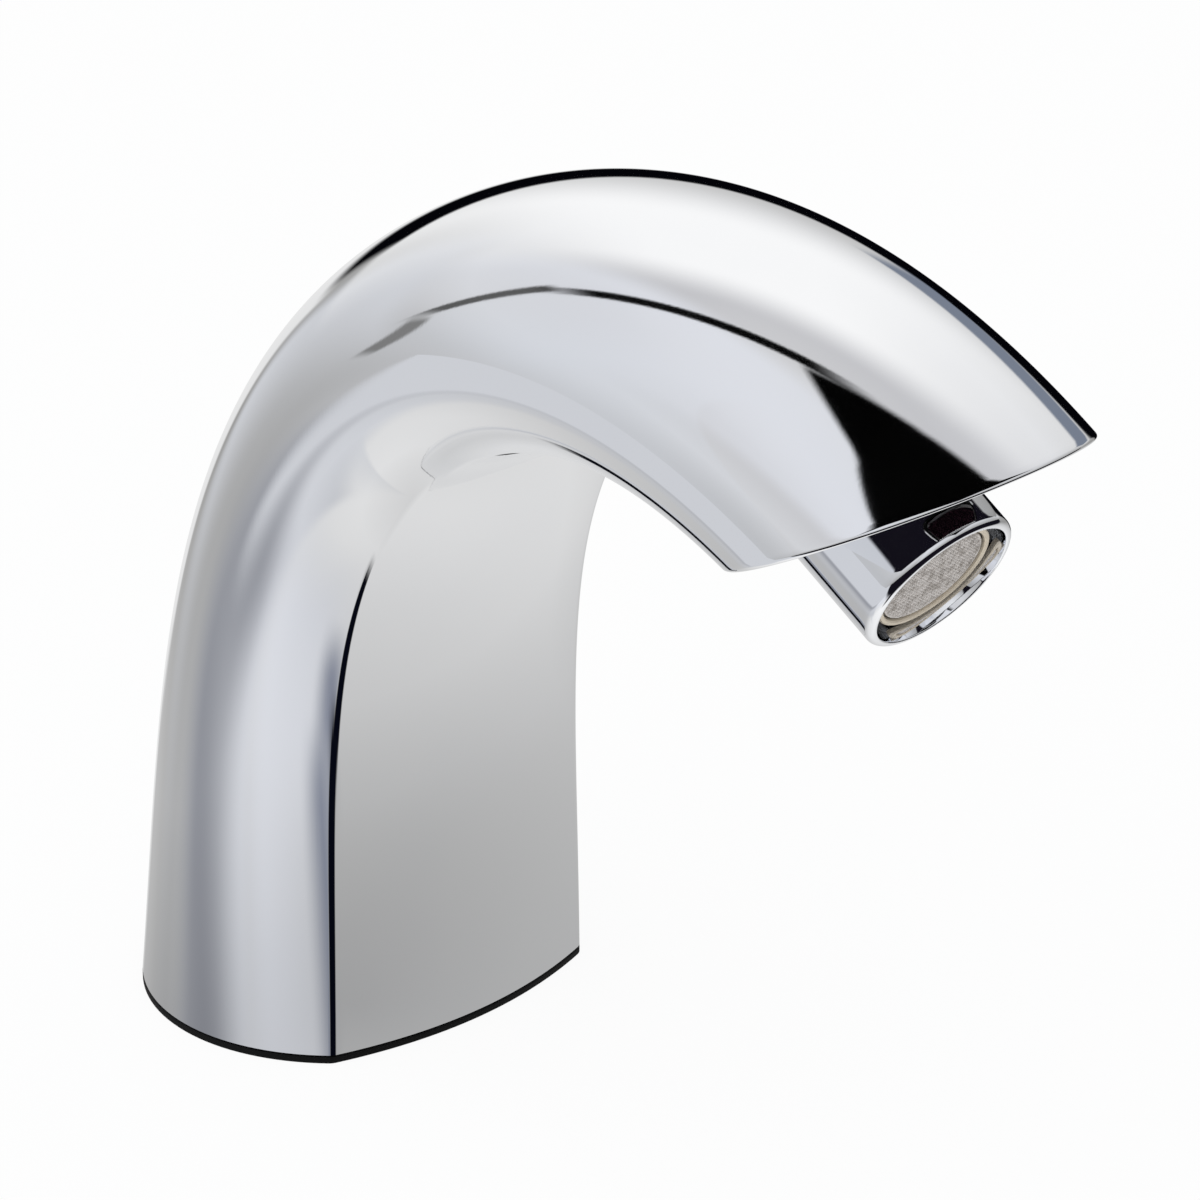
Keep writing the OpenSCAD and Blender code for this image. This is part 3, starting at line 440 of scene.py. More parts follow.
@dataclass
class Shape:
    """Vertices and faces of a piece being made, in millimetres."""

    vertices: list[tuple[float, float, float]] = field(default_factory=list)
    faces: list[tuple[int, ...]] = field(default_factory=list)

    def rows(self, rings: Sequence[Points], ends: bool = False) -> "Shape":
        """Adds a skin over rings with the same number of points.

        Args:
            rings: The rings in order.
            ends: Whether the first and last ring get a cap.

        Returns:
            This shape.
        """
        start, count = len(self.vertices), len(rings[0])
        for ring in rings:
            self.vertices.extend(map(tuple, np.asarray(ring, float)))
        for a in range(start, start + (len(rings) - 1) * count, count):
            for j in range(count):
                k = (j + 1) % count
                self.faces.append((a + j, a + k, a + k + count, a + j + count))
        if ends:
            self.cap(start, count)
            self.cap(start + (len(rings) - 1) * count, count)
        return self

    def cap(self, start: int, count: int) -> None:
        """Closes a ring of count points from start on with one face."""
        self.faces.append(tuple(range(start, start + count)))

    def lathe(self, profile: Profile, sides: int = 96, place: Matrix | None = None) -> "Shape":
        """Adds a turned form.

        Args:
            profile: Radius and height of its closed outline.
            sides: Points round it.
            place: Where its axis stands.

        Returns:
            This shape.
        """
        turn = np.linspace(0, FULL_TURN, sides, endpoint=False)
        rings = [np.stack([r * np.cos(turn), r * np.sin(turn), np.full(sides, z)], 1)
                 for r, z in profile + profile[:1]]
        return self.rows([placed(ring, place) for ring in rings])

    def tube(self, route: Points, radius: float, sides: int = 16, bore: float | None = None) -> "Shape":
        """Adds a round tube along a route.

        Args:
            route: Points of its middle line.
            radius: Outer radius.
            sides: Points round it.
            bore: Inner radius, or None for a solid wire.

        Returns:
            This shape.
        """
        along = np.gradient(route, axis=0)
        along /= np.linalg.norm(along, axis=1)[:, None]
        side = np.cross(along[0], [0.0, 0.0, 1.0] if abs(along[0][2]) < 0.9 else [0.0, 1.0, 0.0])
        turn = np.linspace(0, FULL_TURN, sides, endpoint=False)
        outer, inner = [], []
        for point, way in zip(route, along):
            side = side - way * float(side @ way)
            side /= np.linalg.norm(side)
            spokes = np.outer(np.cos(turn), side) + np.outer(np.sin(turn), np.cross(way, side))
            outer.append(point + radius * spokes)
            inner.append(point + (bore or 0.0) * spokes)
        if bore is None:
            return self.rows(outer, ends=True)
        return self.rows(outer + inner[::-1] + outer[:1])

    def piece(self, name: str, finish: Finish, sharp: float = 32.0) -> bpy.types.Object:
        """The shape as a Blender object in metres, shaded smooth, with faces that look outwards.

        Args:
            name: The object's name.
            finish: Its finish.
            sharp: Angle in degrees above which an edge stays sharp.

        Returns:
            The object.
        """
        mesh = bpy.data.meshes.new(name)
        mesh.from_pydata([tuple(c * MM for c in v) for v in self.vertices], [], self.faces)
        mesh.validate()
        made = bpy.data.objects.new(name, mesh)
        bpy.context.scene.collection.objects.link(made)
        mesh.materials.append(finish.material())
        work = bmesh.new()
        work.from_mesh(mesh)
        bmesh.ops.remove_doubles(work, verts=work.verts, dist=1e-7)
        bmesh.ops.recalc_face_normals(work, faces=work.faces)
        work.to_mesh(mesh)
        work.free()
        mesh.polygons.foreach_set("use_smooth", [True] * len(mesh.polygons))
        mesh.set_sharp_from_angle(angle=math.radians(sharp))
        return made

    def seat(self, name: str, finish: Finish, body: str, *nodes: str, sharp: float = 32.0) -> bpy.types.Object:
        """The shape as a piece of the tap.

        Args:
            name: The piece's name.
            finish: Its finish.
            body: The CAD body that it rides on.
            nodes: The CAD nodes that it stands for.
            sharp: Angle in degrees above which an edge stays sharp.

        Returns:
            The piece.
        """
        made = self.piece(name, finish, sharp)
        install(made, finish, body, *nodes)
        return made


def install(piece: bpy.types.Object, finish: Finish, body: str, *nodes: str) -> None:
    """Seats a piece: what it rides on and the nodes that it stands for.

    Args:
        piece: The object.
        finish: Its finish; not used.
        body: The CAD body.
        nodes: The CAD nodes that it replaces.
    """
    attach(piece, body)
    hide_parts(*nodes)
    LOG.info("%s rides on %s and stands for %s", piece.name, body, ", ".join(nodes))


def placed(points: Points, place: Matrix | None) -> Points:
    """Points moved by a matrix, or left where they are."""
    return points if place is None else points @ np.array(place.to_3x3()).T + np.array(place.translation)


def at_level(flat: Points | Profile, z: float) -> Points:
    """Flat points at a height."""
    return np.column_stack([flat, np.full(len(flat), z)])


def bezier(points: Sequence[Sequence[float]] | Sequence[float], u: float) -> Points:
    """A point of a Bezier curve of any degree.

    Args:
        points: Its control points or control values.
        u: Place on the curve, 0 to 1.

    Returns:
        The point or value.
    """
    row = np.asarray(points, float)
    while len(row) > 1:
        row = (1 - u) * row[:-1] + u * row[1:]
    return row[0]


def arc(centre: tuple[float, float], radius: float, start: float, end: float, count: int) -> Profile:
    """Points of an arc.

    Args:
        centre: Its centre.
        radius: Its radius.
        start: First angle in degrees, from the first axis towards the second.
        end: Last angle in degrees.
        count: How many points it has.

    Returns:
        The points in order.
    """
    return [(centre[0] + radius * math.cos(a), centre[1] + radius * math.sin(a))
            for a in np.radians(np.linspace(start, end, count))]


def carve(piece: bpy.types.Object, tools: Sequence[bpy.types.Object], sharp: float) -> None:
    """Cuts tools out of a piece and deletes them.

    Args:
        piece: The object that is cut.
        tools: The cutting objects.
        sharp: Angle in degrees above which an edge stays sharp.
    """
    for tool in tools:
        cut = piece.modifiers.new("cut", "BOOLEAN")
        cut.operation, cut.solver, cut.object = "DIFFERENCE", "EXACT", tool
    bpy.context.view_layer.update()
    made = bpy.data.meshes.new_from_object(piece.evaluated_get(bpy.context.evaluated_depsgraph_get()))
    piece.modifiers.clear()
    old, piece.data = piece.data, made
    bpy.data.meshes.remove(old)
    for tool in tools:
        bpy.data.objects.remove(tool)
    piece.data.set_sharp_from_angle(angle=math.radians(sharp))


# Sub-assemblies

@dataclass(frozen=True)
class Seal:
    """A rubber ring with rounded corners."""

    name: str
    node: str
    inner: float
    outer: float
    low: float
    high: float
    corner: float
    body: str = "tap_body"
    sides: int = 72

    def dress(self, place: Matrix) -> None:
        """Makes the ring and seats it.

        Args:
            place: Where its axis stands.
        """
        r = self.corner
        left, right, bottom, top = self.inner + r, self.outer - r, self.low + r, self.high - r
        profile = [point for centre, start in (((right, top), 0), ((left, top), 90), ((left, bottom), 180),
                                               ((right, bottom), 270))
                   for point in arc(centre, r, start, start + 90, 6)]
        Shape().lathe(profile, self.sides, place).seat(self.name, RUBBER, self.body, self.node)


@dataclass
class Outlet:
    """The chromed outlet with its aerator. Heights are along the jet, from zero at the rim."""

    at: tuple[float, float, float] = (118.3, 0.0, 99.6)
    tilt: float = 60.0
    radius: float = 12.2
    length: float = 24.0
    bore: float = 10.3
    bore_from: float = 2.0
    lip: float = 1.2
    flare: float = 0.5
    flare_round: float = 0.25
    back_bevel: tuple[float, float] = (0.3, 0.4)
    neck_r: float = 8.0
    neck_l: float = 6.0
    floor: float = 4.0
    waterway_r: float = 6.0
    tube_r: float = 4.05
    recess: float = 1.6
    aerator_l: float = 12.0
    washer_h: float = 1.9
    washer_gap: float = 0.1
    cage_gap: float = 0.05
    cage_wall: float = 1.2
    cage_floor: float = 5.0
    ledge_depth: float = 1.8
    ledge: float = 0.6
    ring_r: float = 9.3
    ring_front: float = 0.8
    ring_edge: float = 0.18
    mesh_r: float = 8.4
    mesh_gap: float = 0.1
    mesh_hold: float = 0.4
    mesh_lift: float = 0.25
    rear_lift: float = 2.8
    wire_r: float = 0.135
    wire_pitch: float = 0.42
    wire_wave: float = 0.9
    wire_sides: int = 5
    weave_turn: float = 38.0
    rim_wire_r: float = 0.2

    def place(self) -> Matrix:
        """Outlet frame: Z runs out along the jet, the rim is at zero."""
        return Matrix.Translation(self.at) @ Matrix.Rotation(math.radians(180 - self.tilt), 4, "Y")

    def nozzle(self) -> None:
        """The chromed sleeve with its rounded lip."""
        seat = -self.aerator_l - self.recess - self.washer_h - self.washer_gap
        back, neck_end = -self.length, -self.length - self.neck_l
        profile = [(self.radius, z) for z in np.linspace(back, -self.bore_from, 12)]
        profile += arc((self.radius - self.lip, -self.lip), self.lip, 0, 90, 9)
        profile += arc((self.bore + self.flare + self.flare_round, -self.flare_round), self.flare_round, 90, 180, 7)
        profile += [(self.bore, z) for z in np.linspace(-self.bore_from, seat, 8)]
        profile += [(self.waterway_r, seat), (self.waterway_r, back + self.floor), (self.tube_r, back + self.floor),
                    (self.tube_r, neck_end), (self.neck_r, neck_end), (self.neck_r, back - self.back_bevel[1]),
                    (self.radius - self.back_bevel[0], back)]
        Shape().lathe(profile, 160, self.place()).seat("outlet_sleeve", OUTLET_CHROME, "tap_body", "outlet_nozzle")

    def aerator(self) -> None:
        """The threaded cage, its front ring and its woven screens."""
        front = -self.recess
        back = front - self.aerator_l
        seat = front - self.ring_front
        ledge_r, hold_r = self.ring_r - self.ledge, self.mesh_r - self.mesh_hold
        cage_r = self.bore - self.cage_gap
        cage_in = cage_r - self.cage_wall
        cage = [(cage_r, back), (cage_r, front - self.ledge_depth), (ledge_r, front - self.ledge_depth),
                (ledge_r, seat), (hold_r, seat), (hold_r, back + self.cage_floor),
                (cage_in, back + self.cage_floor), (cage_in, back)]
        Shape().lathe(cage, 96, self.place()).seat("aerator_cage", BLACK, "aerator", "aerator_housing")
        inner, edge = self.mesh_r + self.mesh_gap, self.ring_edge
        ring = [(inner, seat), (inner, front - edge), (inner + edge, front), (self.ring_r - edge, front),
                (self.ring_r, front - edge), (self.ring_r, seat)]
        Shape().lathe(ring, 128, self.place()).seat("aerator_front_ring", RING_BRASS, "aerator", "aerator_ring")
        self.screen("front_weave", self.mesh_r, seat + self.mesh_lift, "aerator_screen")
        self.screen("rear_weave", cage_in - self.mesh_gap, back + self.rear_lift, "rear_screen")

    def screen(self, name: str, radius: float, level: float, node: str) -> None:
        """A woven wire screen with a rim.

        Args:
            name: Name of the piece.
            radius: Outer radius of the rim.
            level: Height of the weave in the outlet's frame.
            node: The CAD node that it stands for.
        """
        shape, place = Shape(), self.place()
        turn = np.array(Matrix.Rotation(math.radians(self.weave_turn), 3, "Z"))
        reach = radius - 1.5 * self.rim_wire_r
        count = int(reach / self.wire_pitch)
        for i in range(-count, count + 1):
            off = i * self.wire_pitch
            half = math.sqrt(max(reach ** 2 - off ** 2, 0))
            if half < self.wire_pitch:
                continue
            steps = max(6, int(4 * half / self.wire_pitch))
            along, beside = np.linspace(-half, half, steps), np.full(steps, off)
            wave = self.wire_r * self.wire_wave * np.cos(math.pi * (along / self.wire_pitch + i))
            for wire in ((along, beside, level + wave), (beside, along, level - wave)):
                shape.tube(placed(np.stack(wire, 1) @ turn, place), self.wire_r, self.wire_sides)
        rim = arc((radius - 2 * self.rim_wire_r, level), self.rim_wire_r, 0, 315, 8)
        shape.lathe(rim, 96, place).seat(name, MESH_STEEL, "aerator", node, sharp=60)

    def dress(self) -> None:
        """Makes the outlet's pieces."""
        self.nozzle()
        self.aerator()


@dataclass
class SensorWindow:
    """The dark window in the end face with its seal. Heights are out of the face, from zero at the face."""

    width: float = 13.0
    height: float = 5.6
    thickness: float = 1.5
    along: float = 27.0
    corner: float = 1.2
    seal: float = 0.6
    seal_gap: float = 0.05
    seal_sink: float = 0.35
    seal_crown: float = 0.08
    pocket: float = 5.5
    lead_in: float = 0.25
    clear_of_face: float = 1.0

    def outline(self, grow: float, z: float, place: Matrix) -> Points:
        """A rounded rectangle in the end face's frame.

        Args:
            grow: How far it stands outside the window's edge.
            z: Its height.
            place: The end face's frame.

        Returns:
            Its points in space.
        """
        r = self.corner + grow
        run, side = self.height / 2 + grow - r, self.width / 2 + grow - r
        flat = []
        for way, across, start in ((1, 1, 90), (1, -1, 0), (-1, -1, -90), (-1, 1, -180)):
            flat += arc((self.along + way * run, across * side), r, start, start - 90, 9)
        return placed(at_level(flat, z), place)

    def stack(self, levels: Sequence[tuple[float, float]], place: Matrix) -> list[Points]:
        """Outlines for pairs of growth and height."""
        return [self.outline(grow, z, place) for grow, z in levels]

    def cutter(self, place: Matrix) -> bpy.types.Object:
        """The tool that makes the pocket, with a broken edge at the face.

        Args:
            place: The end face's frame.

        Returns:
            The tool.
        """
        wide = self.seal + self.lead_in
        levels = ((self.seal, -self.pocket), (self.seal, -self.lead_in), (wide, 0.0), (wide, self.clear_of_face))
        return Shape().rows(self.stack(levels, place), ends=True).piece("pocket_tool", CHROME)

    def dress(self, place: Matrix) -> None:
        """Makes the dark lens, a little domed, and the seal round it.

        Args:
            place: The end face's frame.
        """
        back = -self.thickness
        lens = self.stack(((0.0, back), (0.0, -0.2), (-0.2, -0.05), (-0.6, -0.01)), place)
        middle = self.outline(0.0, 0.0, place).mean(0)
        lens += [lens[-1] + share * (middle - lens[-1]) for share in (0.35, 0.7, 0.95)]
        Shape().rows(lens, ends=True).seat("sensor_lens", WINDOW, "tap_body", "sensor_window")
        outer, front = self.seal - self.seal_gap, -self.seal_sink
        seal = self.stack(((outer, back), (outer, front), (self.seal_sink, front + self.seal_crown),
                           (self.seal_gap, front), (self.seal_gap, back)), place)
        Shape().rows(seal + seal[:1]).seat("lens_seal", RUBBER, "tap_body", "window_seal")


@dataclass
class SpoutBody:
    """The arched chromed casting.

    Its rails run in the middle plane from the base, at u = 0, to the end face, at u = 1. Rails, edge
    widths and flanks are Bezier curves over u.
    """

    front_rail: tuple = ((23.5, 0), (23.5, 58.5), (19.3, 62.5), (36.5, 128.3), (99.5, 102))
    back_rail: tuple = ((-27.2, 0), (-18.2, 63.8), (-21.5, 115.2), (45, 171.3), (131.5, 118.3))
    edge_widths: tuple = (24.4, 23.3, 21.8, 20.8)
    flanks: tuple = (1.36, 1.39, 1.43)
    bulge: float = 4.2
    bulge_kept: float = 0.25
    bulge_from: float = 0.6
    wall: float = 2.8
    lift: float = 1.0
    edge_round: float = 0.62
    edge_steps: int = 10
    rim_round: float = 0.8
    rim_steps: int = 9
    foot_round: float = 0.35
    foot_steps: int = 5
    heel_rise: float = 2.2
    heel_run: float = 7.0
    heel_steps: int = 14
    front_run: float = 265.0
    length: float = 340.0
    rings: int = 190
    inner_rings: int = 60
    back_points: int = 96
    face_points: int = 30
    hollow_end: float = 0.975
    bore_gap: float = 0.04
    bore_clear: float = 20.0
    neck_gap: float = 0.5
    sharp: float = 38.0
    outlet: Outlet = field(default_factory=Outlet)
    window: SensorWindow = field(default_factory=SensorWindow)

    def across(self, u: float) -> Points:
        """Direction from the front edges to the crown in the middle plane."""
        way = bezier(self.back_rail, u) - bezier(self.front_rail, u)
        return way / np.linalg.norm(way)

    def section(self, u: float, inset: float = 0.0) -> Points:
        """The outline at u, with rounded front edges.

        Args:
            u: Place along the spout, 0 at the base and 1 at the end face.
            inset: How far every side moves inwards.

        Returns:
            The outline's points in space.
        """
        a, o = bezier(self.front_rail, u), self.across(u)
        depth = float(np.linalg.norm(bezier(self.back_rail, u) - a))
        flank = float(bezier(self.flanks, u))
        half_w = float(bezier(self.edge_widths, u)) * flank
        k = math.sqrt(1 - 1 / (flank * flank))
        centre, semi_t, semi_y = depth * k / (1 + k), depth / (1 + k) - inset, half_w - inset
        trim = inset + self.heel_trim(u)
        v_edge = math.acos((trim - centre) / semi_t)
        edge_y = semi_y * math.sin(v_edge)
        bulge = self.bulge_at(u)

        def back(v: float) -> Points:
            """Point of the elliptic back."""
            return np.array([centre + semi_t * math.cos(v), semi_y * math.sin(v)])

        def face(f: float) -> Points:
            """Point of the bulged front."""
            return np.array([trim - bulge * (1 - f * f), edge_y * f])

        def turn(start: Points, middle: Points, end: Points) -> list[Points]:
            """Points of the rounding between two sides."""
            return [bezier((start, middle, end), s) for s in np.linspace(0, 1, self.edge_steps)[1:-1]]

        dv = self.edge_round / math.hypot(semi_t * math.sin(v_edge), semi_y * math.cos(v_edge))
        df = self.edge_round / math.hypot(2 * bulge, edge_y)
        corner = np.array([trim, edge_y])
        flat = [back(v) for v in np.linspace(-v_edge + dv, v_edge - dv, self.back_points)]
        flat += turn(flat[-1], corner, face(1 - df))
        flat += [face(f) for f in np.linspace(1 - df, -1 + df, self.face_points)]
        flat += turn(face(-1 + df), corner * [1, -1], back(-v_edge + dv))
        flat = np.array(flat)
        return np.stack([a[0] + flat[:, 0] * o[0], flat[:, 1], self.lift + a[1] + flat[:, 0] * o[1]], 1)

    def bulge_at(self, u: float) -> float:
        """How far the front stands proud at u: the underside is nearly flat towards the end face."""
        far = min(max((u - self.bulge_from) / (1 - self.bulge_from), 0.0), 1.0)
        return self.bulge * (1 - (1 - self.bulge_kept) * far * far * (3 - 2 * far))

    def heel_trim(self, u: float) -> float:
        """How far the rounded heel takes the front edges back at u."""
        past = max(0.0, 1 - (1 - u) * self.front_run / self.heel_run)
        return self.heel_rise * past * past

    def outer_rings(self) -> list[Points]:
        """Rings of the outside from the foot to the rim of the end face.

        Returns:
            The rings in order.
        """
        climb = 4 * (self.front_rail[1][1] - self.front_rail[0][1])
        start, stop = self.foot_round / climb, 1 - self.rim_round / self.length
        heel = stop - self.heel_run / self.front_run
        foot = np.radians(np.linspace(0, 90, self.foot_steps))
        rim = np.radians(np.linspace(0, 90, self.rim_steps)[1:])
        made = [self.section(start * math.sin(a), self.foot_round * (1 - math.sin(a))) for a in foot]
        made += [self.section(u) for u in np.linspace(start, heel, self.rings)[1:]]
        made += [self.section(u) for u in np.linspace(heel, stop, self.heel_steps)[1:]]
        made += [self.section(stop + (1 - stop) * math.sin(a), self.rim_round * (1 - math.cos(a))) for a in rim]
        return made

    def end_frame(self) -> Matrix:
        """End face frame: X from heel to tip, Z out of the face, origin at the heel."""
        run, heel = self.across(1.0), self.front_rail[-1]
        x, z = Vector((run[0], 0, run[1])), Vector((run[1], 0, -run[0]))
        turn = Matrix((x, z.cross(x), z)).transposed().to_4x4()
        return Matrix.Translation((heel[0], 0, self.lift + heel[1])) @ turn

    def skin(self) -> Shape:
        """The outside, the end face and the hollow, joined at the foot.

        Returns:
            The shape.
        """
        rings = self.outer_rings()
        last, count = rings[-1], len(rings[-1])
        spine = last * [1, 0, 1]
        rings += [last + share * (spine - last) for share in (0.25, 0.5, 0.75, 0.97)]
        shape = Shape().rows(rings)
        shape.cap(len(shape.vertices) - count, count)
        shape.cap(len(shape.vertices), count)
        shape.rows([self.section(self.hollow_end * u, self.wall) for u in np.linspace(1, 0, self.inner_rings)])
        foot = len(shape.vertices) - count
        for j in range(count):
            k = (j + 1) % count
            shape.faces.append((j, k, foot + k, foot + j))
        return shape

    def drill(self) -> bpy.types.Object:
        """The tool that makes the outlet's bore."""
        bore, neck = self.outlet.radius + self.bore_gap, self.outlet.neck_r + self.bore_gap
        seat = -self.outlet.length
        end = seat - self.outlet.neck_l - self.neck_gap
        profile = [(0.001, self.bore_clear), (0.001, end), (neck, end), (neck, seat), (bore, seat),
                   (bore, -self.neck_gap), (bore, self.bore_clear)]
        return Shape().lathe(profile, 120, self.outlet.place()).piece("bore_tool", CHROME)

    def dress(self) -> None:
        """Makes the casting with its pocket and bore, and the window in it."""
        end = self.end_frame()
        casting = self.skin().piece("tap_casting", CHROME, self.sharp)
        carve(casting, (self.window.cutter(end), self.drill()), self.sharp)
        self.window.dress(end)
        install(casting, CHROME, "tap_body", "spout_body")


@dataclass
class Gasket:
    """The black rubber gasket under the casting."""

    height: float = 1.0
    deck_hole: float = 17.5
    edge: float = 0.15
    casting: SpoutBody = field(default_factory=SpoutBody)

    def dress(self) -> None:
        """Makes the gasket with rounded edges and seats it."""
        outline = self.casting.section(0.0)
        turn = np.arctan2(outline[:, 1], outline[:, 0])
        hole = self.deck_hole * np.stack([np.cos(turn), np.sin(turn)], 1)
        levels = ((self.edge, 0.0), (0.0, self.edge), (0.0, self.height - self.edge), (self.edge, self.height))
        rings = [at_level(self.casting.section(0.0, inset)[:, :2], z) for inset, z in levels]
        rings += [at_level(hole, self.height), at_level(hole, 0.0)]
        Shape().rows(rings + rings[:1]).seat("foot_gasket", RUBBER, "tap_body", "base_gasket")


@dataclass
class Waterway:
    """The riser tube and the rubber rings at its ends."""

    outlet: Outlet = field(default_factory=Outlet)
    riser_x: float = 18.7
    bend_r: float = 47.0
    start_z: float = 22.0
    tube_r: float = 3.98
    tube_bore: float = 3.1
    tube_stop: float = 20.0
    riser_seal: Seal = Seal("riser_seal", "riser_o_ring", 4.06, 4.59, 28.02, 29.88, 0.25)
    outlet_seals: tuple[Seal, ...] = (
        Seal("sleeve_seal", "nozzle_o_ring", 7.06, 7.99, -27.48, -25.72, 0.45),
        Seal("spout_tube_seal", "tube_o_ring", 4.06, 4.84, -24.88, -23.02, 0.38),
        Seal("flat_washer", "aerator_washer", 7.02, 10.18, -15.48, -13.62, 0.3, "aerator_seal"),
    )

    def route(self) -> Points:
        """Middle line of the tube: up, round the bend and down to the outlet.

        Returns:
            Its points.
        """
        tilt = math.radians(self.outlet.tilt)
        x, _, z = self.outlet.at
        end = (x - self.riser_x - self.bend_r * (1 + math.cos(tilt))) / math.sin(tilt)
        bend_z = z + end * math.cos(tilt) - self.bend_r * math.sin(tilt)
        points = [(self.riser_x, 0, h) for h in np.linspace(self.start_z, bend_z - 2, 6)]
        points += [(px, 0, pz) for px, pz in
                   arc((self.riser_x + self.bend_r, bend_z), self.bend_r, 180, self.outlet.tilt, 48)]
        last = np.array([x, 0, z]) - self.tube_stop * np.array([math.sin(tilt), 0, -math.cos(tilt)])
        first = np.array(points[-1])
        points += [tuple(first + share * (last - first)) for share in np.linspace(0, 1, 5)[1:]]
        return np.array(points)

    def dress(self) -> None:
        """Makes the tube and the rings."""
        tube = Shape().tube(self.route(), self.tube_r, 40, self.tube_bore)
        tube.seat("bent_riser", COPPER, "tap_body", "riser_tube")
        self.riser_seal.dress(Matrix.Translation((self.riser_x, 0, 0)))
        for seal in self.outlet_seals:
            seal.dress(self.outlet.place())


@dataclass
class Solenoid:
    """The valve's spring, winding and diaphragm."""

    valve_x: float = 2.0
    spring_r: float = 1.7
    spring_wire: float = 0.24
    spring_low: float = 41.45
    spring_high: float = 50.75
    spring_turns: int = 7
    turn_steps: int = 24
    plunger_travel: float = 1.5
    winding: tuple[float, float, float, float] = (5.76, 9.6, 38.82, 58.78)
    wire: float = 0.25
    membrane: Seal = Seal("rubber_membrane", "diaphragm_membrane", 5.02, 7.98, 30.02, 31.18, 0.3)

    def spring(self) -> None:
        """The wound spring."""
        steps = self.spring_turns * self.turn_steps
        v = np.linspace(0, FULL_TURN * self.spring_turns, steps)
        rise = np.linspace(self.spring_low, self.spring_high, steps)
        coil = np.stack([self.valve_x + self.spring_r * np.cos(v), self.spring_r * np.sin(v), rise], 1)
        spring = Shape().tube(coil, self.spring_wire, 8).seat("return_spring", STEEL, "tap_body", "plunger_spring")
        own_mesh(spring)

    def dress(self) -> None:
        """Makes the spring, the winding and the membrane."""
        self.spring()
        inner, outer, low, high = self.winding
        count = int((high - low) / (2 * self.wire))
        profile = [(inner, high), (inner, low)]
        for i in range(count):
            profile += arc((outer - self.wire, low + (i + 0.5) * (high - low) / count), self.wire, -60, 60, 4)
        place = Matrix.Translation((self.valve_x, 0, 0))
        Shape().lathe(profile, 56, place).seat("wound_coil", WINDING, "tap_body", "coil_winding", sharp=75)
        self.membrane.dress(place)


@dataclass
class Leads:
    """The sensor's lead and the coil's two wires."""

    casting: SpoutBody = field(default_factory=SpoutBody)
    radius: float = 1.18
    depth: float = 5.6
    side: float = 9.0
    end_side: float = 4.6
    end_along: float = 24.8
    pocket: float = 5.5
    start: float = 0.95
    leave: float = 0.4
    swing_from: float = 0.78
    crown_steps: int = 23
    pull: float = 0.2
    foot: tuple[float, float, float] = (-0.5, 19.7, 44.1)
    foot_rise: float = 22.0
    wire_r: float = 0.58
    wire_ends: tuple = (((9.4, 3.0, 64.2), (4.5, 18.7, 44.1)), ((9.4, 6.0, 64.2), (1.5, 18.7, 44.1)))
    wire_rises: tuple[float, float] = (6.0, 24.0)

    def under_crown(self, u: float, y: float) -> Points:
        """A point below the crown."""
        flat = bezier(self.casting.back_rail, u) - self.depth * self.casting.across(u)
        return np.array([flat[0], y, self.casting.lift + flat[1]])

    def route(self) -> Points:
        """Middle line of the sensor's lead: out of the pocket, under the crown and down to the case.

        Returns:
            Its points.
        """
        end = self.casting.end_frame()
        points = [end @ Vector((self.end_along, -self.end_side, -self.pocket - out)) for out in (0.1, 1.8)]
        for u in np.linspace(self.start, self.leave, self.crown_steps):
            share = max(0.0, (u - self.swing_from) / (self.start - self.swing_from))
            side = self.side + (self.end_side - self.side) * share * share * (3 - 2 * share)
            points.append(self.under_crown(u, side))
        top, foot = self.under_crown(self.leave, self.side), np.array(self.foot)
        drop = [top, top + self.pull * (top - self.under_crown(self.leave + 0.2, self.side)),
                foot + [0, 0, self.foot_rise], foot]
        points += [bezier(drop, i / 10) for i in range(1, 11)]
        return np.array(points)

    def dress(self) -> None:
        """Makes the lead and the wires."""
        Shape().tube(self.route(), self.radius, 14).seat("sensor_wire", CABLE, "tap_body", "sensor_lead")
        wires = Shape()
        for ends in self.wire_ends:
            (begin, end), (out, drop) = np.array(ends), self.wire_rises
            row = [begin, begin + [0, 0, out], end + [0, 0, drop], end]
            wires.tube(np.array([bezier(row, k / 24) for k in range(25)]), self.wire_r, 12)
        wires.seat("coil_wires", RED, "tap_body", "coil_leads")


# Studio

class Sight(Enum):
    """How a panel's place and size are given."""

    ROUND = "degrees round from the camera and degrees above the horizon"
    OVERHEAD = "parts of the sky's radius to the right and away from the camera, as seen from below"


ROUND, OVERHEAD = Sight


@dataclass(frozen=True)
class Panel:
    """A soft box or flag that the metal reflects."""

    name: str
    sight: Sight
    azimuth: float
    elevation: float
    half_width: float
    half_height: float
    color: Color
    soft_sides: float
    soft_ends: float
    lean: float

    def values(self) -> dict[str, object]:
        """Its group's inputs."""
        return {"Colour": self.color, "Centre_azimuth": self.azimuth, "Centre_elevation": self.elevation,
                "Half_width": self.half_width, "Half_height": self.half_height, "Soft_sides": self.soft_sides,
                "Soft_ends": self.soft_ends, "Lean": self.lean}


